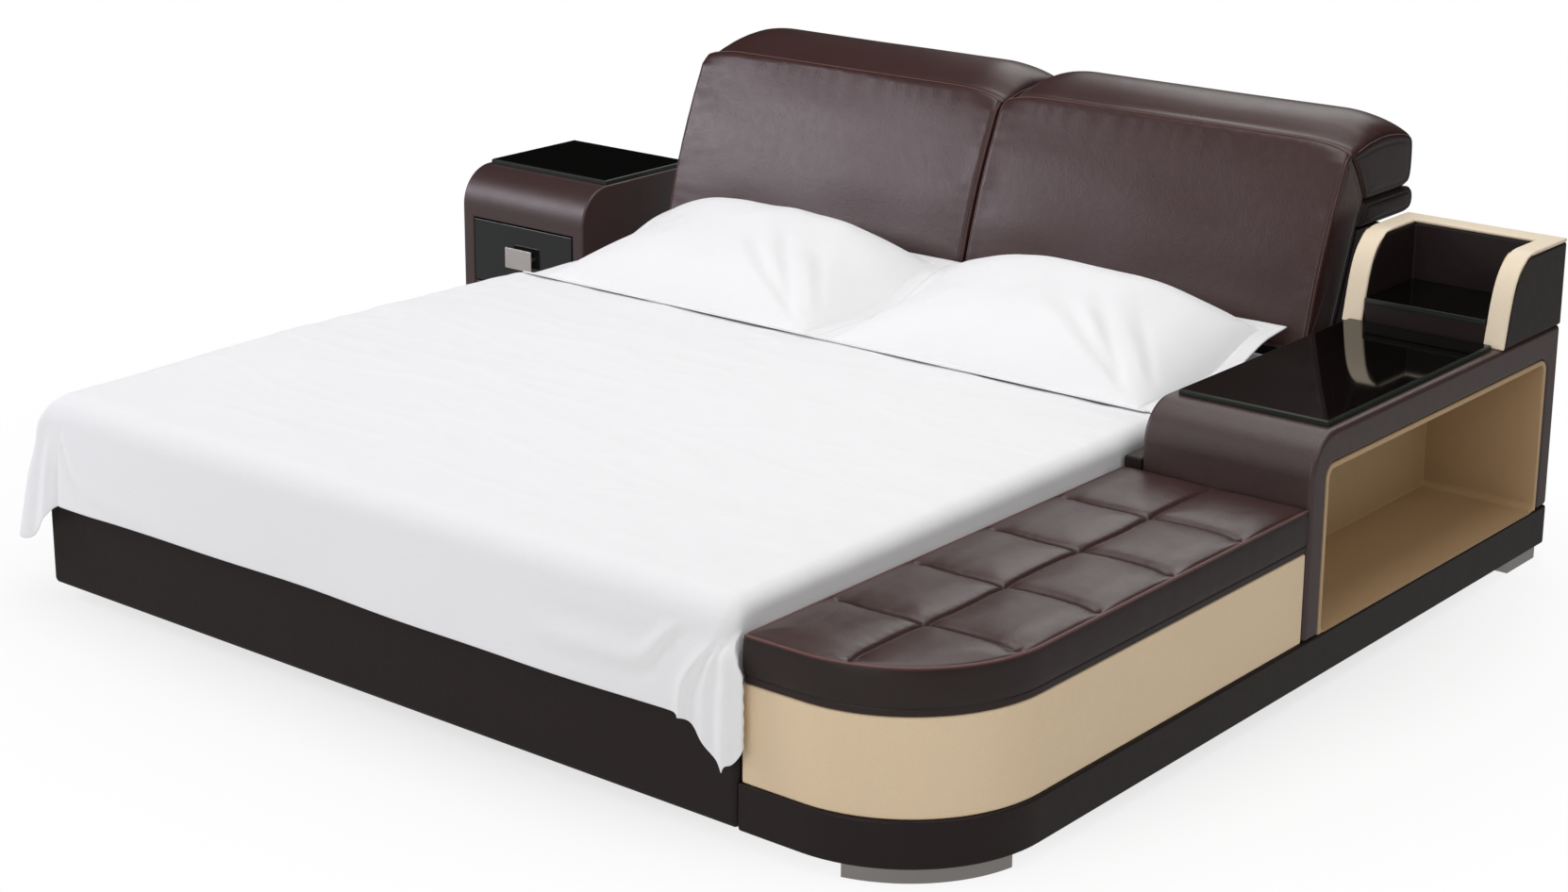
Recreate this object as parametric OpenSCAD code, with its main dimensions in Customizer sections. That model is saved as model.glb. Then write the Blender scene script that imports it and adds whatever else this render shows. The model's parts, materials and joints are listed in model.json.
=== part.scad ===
// Low upholstered double bed with a drawer nightstand on the left and a storage bench,
// open table and hutch on the right. Millimetres, +Z up, +Y towards the headboard.

/* [Mattress] */
// Width of the mattress
mattress_w = 1930; // [1380:10:2000]
// Length of the mattress
mattress_l = 2030; // [1900:10:2130]
// Thickness of the mattress
mattress_h = 250; // [200:10:300]
// Radius of the mattress's top and bottom edges
mattress_edge_r = 34; // [20:1:60]
// Radius of the mattress's corners seen from above
mattress_corner_r = 70; // [40:1:120]
// Height of the slats' top above the floor
slat_top = 215; // [190:1:240]

/* [Bed frame] */
// Height of the frame's underside above the floor
base_z = 32; // [20:1:60]
// Height of the foot and side rails' top above the floor
rail_top = 300; // [270:1:340]
// Thickness of the padded foot rail
foot_rail_t = 40; // [30:1:60]
// Thickness of the padded left side rail
side_rail_t = 58; // [40:1:80]
// Thickness of the plain right side rail
right_rail_t = 36; // [25:1:50]
// Rounding of the padded rails' edges
rail_r = 14; // [6:1:18]
// Play between the mattress and the left rail
gap_left = 4; // [2:1:10]
// Play between the mattress and the bench side
gap_right = 8; // [6:1:20]
// Play between the mattress and the foot rail
gap_foot = 2; // [1:1:10]
// Play between the mattress and the headboard
gap_head = 8; // [4:1:20]
// Width of the centre beam
beam_w = 60; // [40:1:90]
// Height of the centre beam
beam_h = 92; // [60:1:120]
// Radius of the centre legs
leg_r = 25; // [18:1:35]
// Number of centre legs
leg_count = 3; // [2:1:4]
// Size of the corner blocks
block_w = 120; // [100:1:160]
// Radius of the hidden feet
foot_r = 26; // [18:1:35]

/* [Slats] */
// Slats in each of the two rows
slat_count = 14; // [8:1:18]
// Width of a slat
slat_w = 68; // [50:1:80]
// Thickness of a slat
slat_t = 12; // [8:1:16]
// Rise of a slat at its middle
slat_rise = 9; // [4:1:14]
// Floor thickness of a slat cap
cap_t = 4; // [3:1:6]
// Length of a slat cap
cap_l = 52; // [40:1:70]

/* [Headboard] */
// Distance from the end of the bed to the end of the headboard
head_margin = 15; // [5:1:40]
// Depth of the headboard's box
head_box_d = 320; // [260:1:380]
// Height of the pads' underside above the mattress
pad_lift = 13; // [5:1:30]
// Thickness of a back pad, front to back
pad_t = 135; // [110:1:150]
// Backward lean of the pads per unit of height
pad_lean = 0.36; // [0.25:0.01:0.42]
// Bulge of a pad's face
pad_bulge = 12; // [4:1:20]
// Gap between the two halves of the headboard
pad_split = 6; // [3:1:15]
// Height of the headrest axis above the floor
hinge_z = 926; // [900:1:950]
// Radius of a headrest's rounded front edge
nose_r = 21; // [18:1:24]
// Depth of a headrest behind its axis
rest_d = 284; // [240:1:310]
// Crown of a headrest above its front edge
rest_crown = 44; // [25:1:60]
// Height of the bolster's top above the floor
bolster_top = 798; // [780:1:810]
// Thickness of the bolster
bolster_h = 64; // [50:1:80]
// Distance that a wall bumper stands out
bumper_l = 30; // [15:1:45]
// Radius of a wall bumper
bumper_r = 11; // [8:1:16]
// Thickness of the headboard's inner boards
board_t = 18; // [15:1:25]

/* [Headrest ratchets] */
// Outer radius of the toothed disc
ratchet_r = 17; // [15:0.5:18]
// Depth of a ratchet tooth
tooth_h = 2.6; // [1.5:0.1:3.5]
// Angle from one tooth to the next
tooth_step = 14; // [10:1:18]
// Thickness of the fixed toothed plate
plate_t = 4; // [3:0.5:6]
// Thickness of each moving cheek
cheek_t = 3; // [2:0.5:4]
// Width of the hinge arms
arm_w = 18; // [14:1:22]
// Radius of the hinge pin
pin_r = 4; // [3:0.5:6]
// Radial running clearance at the pins
pin_clear = 0.06; // [0.02:0.01:0.1]

/* [Left nightstand] */
// Width of the nightstand
stand_w = 460; // [400:5:560]
// Depth of the nightstand
stand_d = 470; // [420:5:520]
// Distance from the bed's left rail to the nightstand
stand_gap = 175; // [60:5:220]
// Radius of the nightstand's rounded front edge
stand_r = 105; // [70:1:120]
// Thickness of the nightstand's padded sides
stand_wall = 40; // [30:1:50]
// Height of a drawer front
drawer_front_h = 177; // [140:1:180]
// Number of millimetres that a drawer pulls out
drawer_travel = 280; // [200:5:300]
// Length of a drawer box
drawer_l = 400; // [350:5:415]
// Thickness of a drawer front
front_t = 18; // [14:1:22]
// Thickness of the drawer's sides
drawer_side_t = 12; // [9:1:16]
// Thickness of the drawer's bottom
drawer_bottom_t = 5; // [4:1:9]
// Gap round a drawer front
front_gap = 3; // [2:0.5:5]
// Thickness of one runner
runner_t = 6; // [5:0.5:8]
// Height of a runner
runner_h = 45; // [30:1:50]
// Width of a handle plate
handle_w = 100; // [70:1:140]
// Height of a handle plate
handle_h = 58; // [40:1:70]
// Distance that a handle stands out
handle_d = 20; // [14:1:28]

/* [Bench] */
// Width of the bench and table side
bench_w = 455; // [430:1:520]
// Length of the bench
bench_l = 1257; // [1000:1:1350]
// Radius of the bench's curved corner
bench_r = 310; // [200:1:330]
// Height of the plinth's top above the floor
plinth_top = 127; // [110:1:150]
// Thickness of the plinth's boards
plinth_t = 24; // [18:1:30]
// Height of the storage box's top above the floor
box_top = 323; // [290:1:340]
// Wall thickness of the storage box
box_wall = 20; // [15:1:28]
// Height of the seat's piped edge above the floor
seat_top = 416; // [400:1:440]
// Height of the seat's tufted squares above the piping
seat_crown = 13; // [8:1:20]
// Depth of the seams below the squares
seam_depth = 11; // [6:1:16]
// Length of a tufted square along the bench
tuft_l = 251; // [200:1:260]
// Thickness of the lid's board
lid_board_t = 17; // [12:1:22]
// Radius of the seat's piping
piping_r = 3; // [2:0.5:5]
// Largest opening angle of the lid
lid_open = 75; // [60:1:78]
// Number of knuckles on the lid's hinge
knuckle_count = 9; // [5:2:15]
// Radius of the lid hinge's knuckles
knuckle_r = 3; // [2.5:0.5:3.5]
// Radius of the lid hinge's pin
lid_pin_r = 1.6; // [1.2:0.1:2]

/* [Table] */
// Width of the table
table_w = 405; // [380:1:440]
// Height of the table and nightstand tops above the floor
table_top = 565; // [540:1:590]
// Radius of the table's rounded front edge
table_r = 88; // [60:1:110]
// Thickness of the table's front wall and top
table_wall = 72; // [55:1:82]
// Depth of the open cubby
cubby_d = 285; // [220:1:320]
// Thickness of the cubby's liner
liner_t = 12; // [9:1:16]
// Thickness of the cubby's floor panel
cubby_floor_t = 3; // [2:0.5:12]
// Radius of the cubby's corners
cubby_r = 18; // [14:1:30]
// Thickness of the glass tops
glass_t = 12; // [8:1:15]
// Height of the pads under the glass
glass_pad_h = 1; // [0.5:0.1:2]

/* [Hutch] */
// Height of the hutch above the table
hutch_h = 204; // [170:1:240]
// Depth of the hutch's foot
hutch_d = 298; // [260:1:330]
// Thickness of the hutch's side walls
hutch_wall = 50; // [40:1:60]
// Thickness of the trim on the hutch's edges
trim_t = 9; // [6:1:14]
// Height of the riser in the hutch
riser_h = 50; // [35:1:65]

/* [Bedding] */
// Clearance between soft pieces and what they rest on
soft_gap = 0.3; // [0.2:0.05:0.5]
// Length of the mattress left bare at the head
bare_l = 617; // [400:1:900]
// Drop of the cover at the foot
cover_drop = 246; // [200:2:280]
// Thickness of the cover on the mattress
cover_t = 12; // [6:1:16]
// Thickness of the cover where it hangs
hem_t = 3.4; // [2.5:0.1:4]
// Height of a hanging fold
fold_h = 7; // [2:0.5:10]
// Width of a pillow
pillow_w = 915; // [700:5:930]
// Length of a pillow
pillow_l = 585; // [450:5:590]
// Thickness of a pillow
pillow_h = 118; // [80:1:150]
// Width of a pillow's flat border
pillow_border = 42; // [25:1:60]

/* [Hidden] */

$fn = 64;

leather = [0.20, 0.155, 0.15];
cream = [0.80, 0.70, 0.56];
white = [0.94, 0.94, 0.94];
timber = [0.72, 0.58, 0.40];
black_glass = [0.05, 0.05, 0.05];
steel = [0.62, 0.60, 0.58];
dark_steel = [0.30, 0.30, 0.31];
black_rubber = [0.08, 0.08, 0.08];

// Bed
bed_w = side_rail_t + gap_left + mattress_w + gap_right;
mattress_x0 = side_rail_t + gap_left;
mattress_x1 = mattress_x0 + mattress_w;
mattress_y0 = foot_rail_t + gap_foot;
mattress_y1 = mattress_y0 + mattress_l;
mattress_top = slat_top + mattress_h;
head_y0 = mattress_y1 + gap_head;
slat_z0 = slat_top - slat_rise - slat_t;
bearer_z1 = slat_z0 - cap_t;
bearer_h = 40;
bearer_w = 44;
block_lift = 4;
block_h = 60;
foot_inset = 55;
rail_x1 = bed_w - right_rail_t;
beam_x = (side_rail_t + rail_x1) / 2;
joint_gap = 0.2;

// Headboard
head_x0 = head_margin;
head_x1 = bed_w - head_margin;
head_mid = (head_x0 + head_x1) / 2;
head_y1 = head_y0 + head_box_d;
side_y1 = head_y1;
pad_z0 = mattress_top + pad_lift;
pad_y0 = head_y0 - 28;
hinge_y = pad_y0 + pad_lean * (hinge_z - pad_z0) + 49;
crease_end_y = hinge_y + 49;
crease_end_z = bolster_top + soft_gap;
rest_y1 = hinge_y + rest_d;
bolster_y1 = rest_y1 + 12;
rest_low = crease_end_z;
hinge_at = [0.24, 0.76];

// Nightstand
stand_x1 = -stand_gap;
stand_x0 = stand_x1 - stand_w;
stand_y1 = side_y1;
stand_y0 = stand_y1 - stand_d;
stand_bay_x0 = stand_x0 + stand_wall;
stand_bay_x1 = stand_x1 - stand_wall;
stand_foot_h = 36;
stand_bay_z0 = base_z + stand_foot_h;
stand_bay_z1 = stand_bay_z0 + 2 * drawer_front_h + 3 * front_gap;
stand_back_t = 12;
front_w = stand_bay_x1 - stand_bay_x0 - 2 * front_gap;
drawer_z = [stand_bay_z0 + front_gap, stand_bay_z0 + 2 * front_gap + drawer_front_h];
slide_gap = 0.3;
drawer_x0 = stand_bay_x0 + 2 * runner_t + slide_gap;
drawer_x1 = stand_bay_x1 - 2 * runner_t - slide_gap;
drawer_h = drawer_front_h - 42;

// Bench and table
bench_x0 = bed_w;
bench_x1 = bed_w + bench_w;
box_x0 = bench_x0 + 6;
lid_x0 = bench_x0 + 11.5;
bench_y0 = 5;
lid_z0 = box_top + 0.4;
seat_z0 = lid_z0 + lid_board_t;
hinge_x = lid_x0 - 0.5 - knuckle_r;
lid_hinge_z = seat_top - 6;
table_x0 = bench_x1 - table_w;
table_y0 = bench_l + 3;
cubby_x0 = bench_x1 - cubby_d;
cubby_y0 = table_y0 + table_wall;
cubby_y1 = side_y1 - table_wall + 4;
cubby_z0 = plinth_top + cubby_floor_t;
cubby_z1 = table_top - table_wall - 10;
cross_board_y = [bench_r + 60, bench_l - 30, (bench_l + side_y1) / 2];
hutch_y0 = side_y1 - hutch_d;
hutch_x0 = table_x0 + 2;

// Bedding
cover_top = mattress_top + soft_gap + cover_t;
cover_arc_r = 26;
cover_x0 = 46;
cover_x1 = bed_w - 30;
cover_y0 = 10;
cover_y1 = mattress_y1 - bare_l;

// ---------------------------------------------------------------- helpers

function lerp(a, b, t) = a + (b - a) * t;
function smooth(t) = let (u = max(0, min(1, t))) u * u * (3 - 2 * u);
function arc(cy, cz, r, a0, a1, n) = [for (i = [0 : n]) let (a = lerp(a0, a1, i / n))
    [cy + r * cos(a), cz + r * sin(a)]];

module placed() {
    translate([-origin_x, -origin_y, 0]) children();
}

// A solid through rings of points, closed at both ends by fans.
module loft(rings) {
    n = len(rings[0]);
    m = len(rings);
    ends = [for (r = [rings[0], rings[m - 1]]) [for (k = [0 : 2]) [for (p = r) p[k]] * [for (p = r) 1] / n]];
    points = concat([for (r = rings) each r], ends);
    sides = [for (i = [0 : m - 2], j = [0 : n - 1]) let (a = i * n + j, b = i * n + (j + 1) % n)
        each [[a, b, b + n], [a, b + n, a + n]]];
    caps = [for (j = [0 : n - 1]) let (k = (j + 1) % n, z = (m - 1) * n)
        each [[k, j, m * n], [z + j, z + k, m * n + 1]]];
    polyhedron(concat(points), concat(sides, caps));
}

// A closed sheet between two grids of the same size.
module sheet_solid(outer, inner) {
    m = len(outer);
    n = len(outer[0]);
    points = concat([for (r = outer) each r], [for (r = inner) each r]);
    q = m * n;
    top = [for (i = [0 : m - 2], j = [0 : n - 2]) let (a = i * n + j)
        each [[a, a + 1, a + n + 1], [a, a + n + 1, a + n]]];
    low = [for (t = top) [t[0] + q, t[2] + q, t[1] + q]];
    rim = concat([for (j = [0 : n - 2]) [j, j + 1]],
        [for (i = [0 : m - 2]) [i * n + n - 1, (i + 1) * n + n - 1]],
        [for (j = [n - 1 : -1 : 1]) [(m - 1) * n + j, (m - 1) * n + j - 1]],
        [for (i = [m - 1 : -1 : 1]) [i * n, (i - 1) * n]]);
    edge = [for (e = rim) each [[e[0], e[0] + q, e[1] + q], [e[0], e[1] + q, e[1]]]];
    polyhedron(points, concat(top, low, edge));
}

// A rectangle with rounded corners.
module soft_rect(w, h, r) {
    translate([r, 0]) square([w - 2 * r, h]);
    translate([0, r]) square([w, h - 2 * r]);
    for (x = [r, w - r], y = [r, h - r]) translate([x, y]) circle(r);
}

// Draws a (y, z) outline from x0 to x1.
module along_x(x0, x1) {
    translate([x0, 0, 0]) rotate([90, 0, 90]) linear_extrude(x1 - x0) children();
}

// Draws an (x, z) outline from y0 to y1.
module along_y(y0, y1) {
    translate([0, y1, 0]) rotate([90, 0, 0]) linear_extrude(y1 - y0) children();
}

module box(a, b) {
    translate(a) cube(b - a);
}

// ---------------------------------------------------------------- bed frame

module foot_rail() {
    color(leather) placed() along_y(0, foot_rail_t)
        translate([0, base_z]) soft_rect(bed_w, rail_top - base_z, rail_r);
}

module left_side_rail() {
    color(leather) placed() along_y(foot_rail_t, head_y0)
        translate([0, base_z]) soft_rect(side_rail_t, rail_top - base_z, rail_r);
}

module right_side_rail() {
    color(timber) placed() box([rail_x1, foot_rail_t, base_z], [bed_w, head_y0, slat_top - 4]);
}

module head_rail() {
    color(timber) placed()
        box([side_rail_t, head_y0 - board_t, base_z + 40], [rail_x1, head_y0, bearer_z1]);
}

module corner_blocks() {
    color(timber) placed()
        for (x = [side_rail_t, rail_x1 - block_w], y = [foot_rail_t, head_y0 - board_t - block_w])
            box([x, y, base_z + block_lift], [x + block_w, y + block_w, base_z + block_lift + block_h]);
}

// The feet that no view from above shows: under the frame's corners, the plinth and the nightstand.
module rubber_feet() {
    color(black_rubber) placed() {
        for (x = [side_rail_t + block_w / 2, rail_x1 - block_w / 2],
             y = [foot_rail_t + block_w / 2, head_y0 - board_t - block_w / 2])
            translate([x, y, 0]) cylinder(r = foot_r, h = base_z + block_lift);
        for (y = cross_board_y)
            translate([bench_x0 + bench_w / 2, y + plinth_t / 2, 0]) cylinder(r = foot_r, h = base_z);
        for (x = [stand_x0 + foot_inset, stand_x1 - foot_inset],
             y = [stand_y0 + 2 * foot_inset, stand_y1 - foot_inset])
            translate([x, y, 0]) cylinder(r = foot_r, h = base_z);
    }
}

module centre_beam() {
    color(timber) placed() box([beam_x - beam_w / 2, foot_rail_t, bearer_z1 - beam_h],
        [beam_x + beam_w / 2, head_y0 - board_t, bearer_z1]);
}

module centre_legs() {
    span = head_y0 - board_t - foot_rail_t;
    color(dark_steel) placed() for (i = [1 : leg_count])
        translate([beam_x, foot_rail_t + span * (i - 0.5) / leg_count, 0]) {
            cylinder(r = leg_r + 8, h = 8);
            cylinder(r = leg_r, h = bearer_z1 - beam_h);
        }
}

module slat_bearers() {
    y0 = foot_rail_t + joint_gap;
    y1 = head_y0 - board_t - joint_gap;
    color(timber) placed() {
        box([side_rail_t, y0, bearer_z1 - bearer_h], [side_rail_t + bearer_w, y1, bearer_z1]);
        box([rail_x1 - bearer_w, y0, bearer_z1 - bearer_h], [rail_x1, y1, bearer_z1]);
    }
}

slat_rows = [[side_rail_t + 3, beam_x - 1], [beam_x + 1, rail_x1 - 3]];
slat_pitch = (mattress_l - slat_w - 40) / (slat_count - 1);
function slat_y(i) = mattress_y0 + 20 + slat_w / 2 + i * slat_pitch;

// One sprung slat: a shallow arch.
module slat(x0, x1) {
    half = (x1 - x0) / 2;
    arch_r = (half * half + slat_rise * slat_rise) / (2 * slat_rise);
    n = 8;
    up = [for (i = [0 : n]) let (x = lerp(-half, half, i / n))
        [x0 + half + x, slat_z0 + slat_t + sqrt(arch_r * arch_r - x * x) - arch_r + slat_rise]];
    low = [for (i = [n : -1 : 0]) [up[i][0], up[i][1] - slat_t]];
    along_y(-slat_w / 2, slat_w / 2) polygon(concat(up, low));
}

module slats() {
    color(timber) placed() for (row = slat_rows, i = [0 : slat_count - 1])
        translate([0, slat_y(i), 0]) slat(row[0] + cap_t, row[1] - cap_t);
}

module slat_caps() {
    wall = 3;
    color(black_rubber) placed() for (row = slat_rows, i = [0 : slat_count - 1])
        translate([0, slat_y(i), 0]) for (x = [row[0], row[1] - cap_l])
            difference() {
                box([x, -slat_w / 2 - wall, bearer_z1], [x + cap_l, slat_w / 2 + wall, slat_z0 + slat_t - 2]);
                translate([x == row[0] ? cap_t : -cap_t, 0, 0])
                    box([x, -slat_w / 2 - joint_gap, slat_z0], [x + cap_l, slat_w / 2 + joint_gap, slat_top]);
            }
}

module frame_bolts() {
    head_r = 9;
    head_h = 6;
    from_mid = 22;
    color(steel) placed() for (x = [side_rail_t, rail_x1],
        z = [base_z + block_lift + block_h * 0.25, base_z + block_lift + block_h * 0.75],
        y = [foot_rail_t + block_w / 2 - from_mid, head_y0 - board_t - block_w / 2 + from_mid]) {
        inner = x == side_rail_t ? x + block_w : x - block_w;
        way = x == side_rail_t ? 1 : -1;
        translate([inner, y, z]) rotate([0, way * 90, 0]) cylinder(r = head_r, h = head_h, $fn = 6);
    }
}

// ---------------------------------------------------------------- mattress and bedding

// A rounded box as rings from bottom to top; the plan corners are quarter rounds.
module cushion_block(x0, x1, y0, y1, z0, z1, corner_r, edge_r) {
    n = 6;
    steps = 4;
    corners = [[x1 - corner_r, y1 - corner_r, 0], [x0 + corner_r, y1 - corner_r, 90],
        [x0 + corner_r, y0 + corner_r, 180], [x1 - corner_r, y0 + corner_r, 270]];
    function ring(inset, z) = [for (c = corners, i = [0 : n])
        let (a = c[2] + 90 * i / n, r = corner_r - inset) [c[0] + r * cos(a), c[1] + r * sin(a), z]];
    high = [for (i = [steps : -1 : 0]) let (a = 90 * i / steps)
        ring(edge_r * (1 - cos(a)), z1 - edge_r * (1 - sin(a)))];
    low = [for (i = [steps : -1 : 0]) let (a = 90 * i / steps)
        ring(edge_r * (1 - sin(a)), z0 + edge_r * (1 - cos(a)))];
    loft(concat(high, low));
}

module mattress() {
    color(white) placed()
        cushion_block(mattress_x0, mattress_x1, mattress_y0, mattress_y1, slat_top + soft_gap,
            mattress_top, mattress_corner_r, mattress_edge_r);
}

// The cover's point at arc lengths p (across) and q (towards the foot) past its straight
// fold lines; s is 0 on its outer face and 1 on its inner face.
function cover_point(x, y, over_x, over_y, s) =
    let (phi = over_x == 0 ? 0 : atan2(abs(over_x), over_y),
         right = over_x > 0,
         d = norm([over_x, over_y]) * (right ? lerp(1, 0.66, smooth((phi - 40) / 35)) : 1),
         bend = min(90, d / cover_arc_r * 180 / PI),
         t = s * lerp(cover_t, hem_t, bend / 90),
         fall = max(0, d - cover_arc_r * PI / 2),
         corner = pow(sin(2 * phi), 2),
         flare = right ? lerp(0.07, 0.16, corner) * cos(phi) : lerp(0.08, 0.19, sin(phi)),
         wave = fold_h * (fall / cover_drop) * (right && phi > 60 ? 0 : sin(phi > 0 ? 4 * phi : 0.9 * x)),
         out = (cover_arc_r - t) * sin(bend) + flare * fall + wave,
         side = right ? min(out, cover_arc_r - t) : out)
    [x + (right ? 1 : -1) * side * sin(phi), y - out * cos(phi),
     cover_top - cover_arc_r + (cover_arc_r - t) * cos(bend) - fall];

function over_steps(drop, n) = [for (i = [0 : n]) drop * pow(i / n, 0.85)];

cover_across = concat([for (i = [7 : -1 : 1]) [cover_x0, -over_steps(cover_drop, 7)[i]]],
    [for (i = [0 : 12]) [lerp(cover_x0, cover_x1, i / 12), 0]],
    [for (i = [1 : 6]) [cover_x1, over_steps(cover_drop, 6)[i]]]);
cover_along = concat([for (i = [8 : -1 : 1]) [cover_y0, over_steps(cover_drop, 8)[i]]],
    [for (i = [0 : 5]) [lerp(cover_y0, cover_y1, i / 5), 0]]);
cover_faces = [for (s = [0, 1]) [for (v = cover_along) [for (u = cover_across)
    cover_point(u[0], v[0], u[1], v[1], s)]]];

// The middle of the footprint, which is the model's origin.
origin_x = (stand_x0 + bench_x1) / 2;
origin_y = (min([for (row = cover_faces[0], p = row) p[1]]) + bolster_y1 + bumper_l) / 2;

module bed_cover() {
    color(white) placed() sheet_solid(cover_faces[1], cover_faces[0]);
}

// A pillow lying back against the pads, with a flat border round its filling.
module pillow(x_mid) {
    n = 12;
    border_t = 3;
    rear_y = pad_y0 - 4;
    tilt = 4.5;
    fill_w = pillow_w - 2 * pillow_border;
    fill_l = pillow_l - 2 * pillow_border;
    function step(i) = i == 0 ? -1 : i == n ? 1 : -cos(180 * (i - 1) / (n - 2));
    function place(i, size, fill) = i == 0 ? -size / 2 : i == n ? size / 2 : step(i) * fill / 2;
    function puff(i, j) = i == 0 || j == 0 || i == n || j == n ? 0
        : pow(max(0, 1 - pow(abs(step(i)), 2.6)) * max(0, 1 - pow(abs(step(j)), 2.6)), 0.55);
    function face(up) = [for (j = [0 : n]) [for (i = [0 : n]) let (h = puff(i, j))
        [place(i, pillow_w, fill_w), place(j, pillow_l, fill_l),
         border_t / 2 * up + (up > 0 ? 0.82 : -0.18) * pillow_h * h]]];
    lowest = min([for (row = face(-1), p = row) p[1] * sin(tilt) + p[2] * cos(tilt)]);
    lift = mattress_top + soft_gap - lowest;
    color(white) placed() translate([x_mid, rear_y - pillow_l / 2 * cos(tilt), lift]) rotate([tilt, 0, 0])
        sheet_solid(face(-1), face(1));
}

module pillow_left() {
    pillow(lerp(mattress_x0, mattress_x1, 0.25) - 20);
}

module pillow_right() {
    pillow(lerp(mattress_x0, mattress_x1, 0.75) - 60);
}

// ---------------------------------------------------------------- headboard

left_half = [head_x0, head_mid - pad_split / 2];
right_half = [head_mid + pad_split / 2, head_x1];
function hinge_places(half) = [for (t = hinge_at) lerp(half[0], half[1], t)];
rib_y0 = head_y0 + board_t;
panel_t = 12;
function pad_face_y(z) = pad_y0 + pad_lean * (z - pad_z0);
function pad_back_y(z) = pad_face_y(z) + pad_t;
// Ribs stand at both ends, in the middle and beside each ratchet plate.
rib_x = concat([head_x0 + board_t / 2, head_mid, head_x1 - board_t / 2],
    [for (half = [left_half, right_half], x = hinge_places(half)) x + (plate_t + board_t) / 2]);
bolster_z0 = bolster_top - bolster_h;

module headboard_front_board() {
    color(leather) placed() box([head_x0, head_y0, base_z], [head_x1, head_y0 + board_t, pad_z0 - soft_gap]);
}

// Upright ribs whose sloping edges carry the back pads.
module headboard_ribs() {
    top_z = bolster_z0 - soft_gap;
    y_top = pad_back_y(top_z) + soft_gap * 2;
    outline = [[rib_y0, base_z], [head_y1 - panel_t, base_z], [head_y1 - panel_t, top_z], [y_top, top_z],
        [pad_back_y(pad_z0) + soft_gap * 2, pad_z0 - soft_gap], [rib_y0, pad_z0 - soft_gap]];
    color(leather) placed() for (x = rib_x)
        along_x(x - board_t / 2, x + board_t / 2) polygon(outline);
}

module headboard_back_panel() {
    color(leather) placed()
        box([head_x0, head_y1 - panel_t, base_z], [head_x1, head_y1, bolster_z0 - soft_gap]);
}

// Rings along X of a (y, z) outline that draws in towards both ends; above low_end it also
// drops in a quarter ellipse over the last crown_l.
crown_l = 140;
function quarter(t) = sqrt(1 - pow(1 - min(1, t), 2));
function pad_rings(x0, x1, outline, centre, low_end) =
    let (w = x1 - x0, near = [0, 6, 18, 42, 80, crown_l],
         stops = concat(near, [w / 2], [for (i = [len(near) - 1 : -1 : 0]) w - near[i]]))
    [for (s = stops) let (e = min(s, w - s), k = lerp(0.90, 1, quarter(e / 42)), crown = lerp(0.25, 1, quarter(e / crown_l)))
        [for (p = outline) let (z = centre[1] + (p[1] - centre[1]) * k)
            [x0 + s, centre[0] + (p[0] - centre[0]) * k, z > low_end ? low_end + (z - low_end) * crown : z]]];

function pad_outline() =
    let (z1 = hinge_z - 12, n = 7, lip = hinge_z + 20)
    concat([[pad_face_y(pad_z0) + 26, pad_z0], [pad_face_y(pad_z0) + 6, pad_z0 + 7]],
        [for (i = [0 : n]) let (z = lerp(pad_z0 + 24, z1, i / n))
            [pad_face_y(z) - pad_bulge * sin(180 * i / n) + (i == n ? 4 : 0), z]],
        [[pad_face_y(hinge_z) + 11, lip - 9], [hinge_y - nose_r - 8, lip],
         [hinge_y - nose_r - soft_gap - 1, lip - 3], [hinge_y - nose_r - soft_gap - 1, hinge_z]],
        [[hinge_y + nose_r * cos(217) - 1.2, hinge_z + nose_r * sin(217) - 1],
         [crease_end_y - 3, crease_end_z - 1], [crease_end_y - 6, bolster_top - 4],
         [pad_back_y(bolster_z0), bolster_z0], [pad_back_y(pad_z0 + 10), pad_z0 + 10], [pad_back_y(pad_z0) - 9, pad_z0]]);

module back_pad(x0, x1) {
    mid_z = (pad_z0 + hinge_z) / 2;
    centre = [pad_face_y(mid_z) + pad_t / 2, mid_z];
    color(leather) placed() loft(pad_rings(x0, x1, pad_outline(), centre, hinge_z - nose_r));
}

module back_pad_left() {
    back_pad(head_x0, head_mid - pad_split / 2);
}

module back_pad_right() {
    back_pad(head_mid + pad_split / 2, head_x1);
}

// A headrest's outline: its front edge is round about the axis, so that it clears the pad.
function rest_outline() =
    concat(arc(hinge_y, hinge_z, nose_r, 217, 100, 6),
        [for (q = [[0.12, 0.31], [0.27, 0.75], [0.45, 1], [0.64, 0.9]])
            [hinge_y + rest_d * q[0], hinge_z + nose_r + rest_crown * q[1]]],
        [[rest_y1 - 58, hinge_z + nose_r + 22], [rest_y1 - 24, hinge_z + 14], [rest_y1 - 6, hinge_z - 16],
         [rest_y1, hinge_z - 50], [rest_y1 - 5, rest_low + 16], [rest_y1 - 34, rest_low],
         [crease_end_y + 8, rest_low], [crease_end_y + 1, rest_low + 3]]);

module headrest_body(x0, x1) {
    centre = [hinge_y + rest_d / 2, (hinge_z + rest_low) / 2 + 30];
    loft(pad_rings(x0, x1, rest_outline(), centre, hinge_z));
}

module headrest_foam(x0, x1) {
    slot_w = plate_t + 2 * cheek_t + 6;
    color(leather) placed() difference() {
        headrest_body(x0, x1);
        for (x = hinge_places([x0, x1])) along_x(x - slot_w / 2, x + slot_w / 2) slot_outline();
        board_box(x0, x1, 0.2);
    }
}

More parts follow.
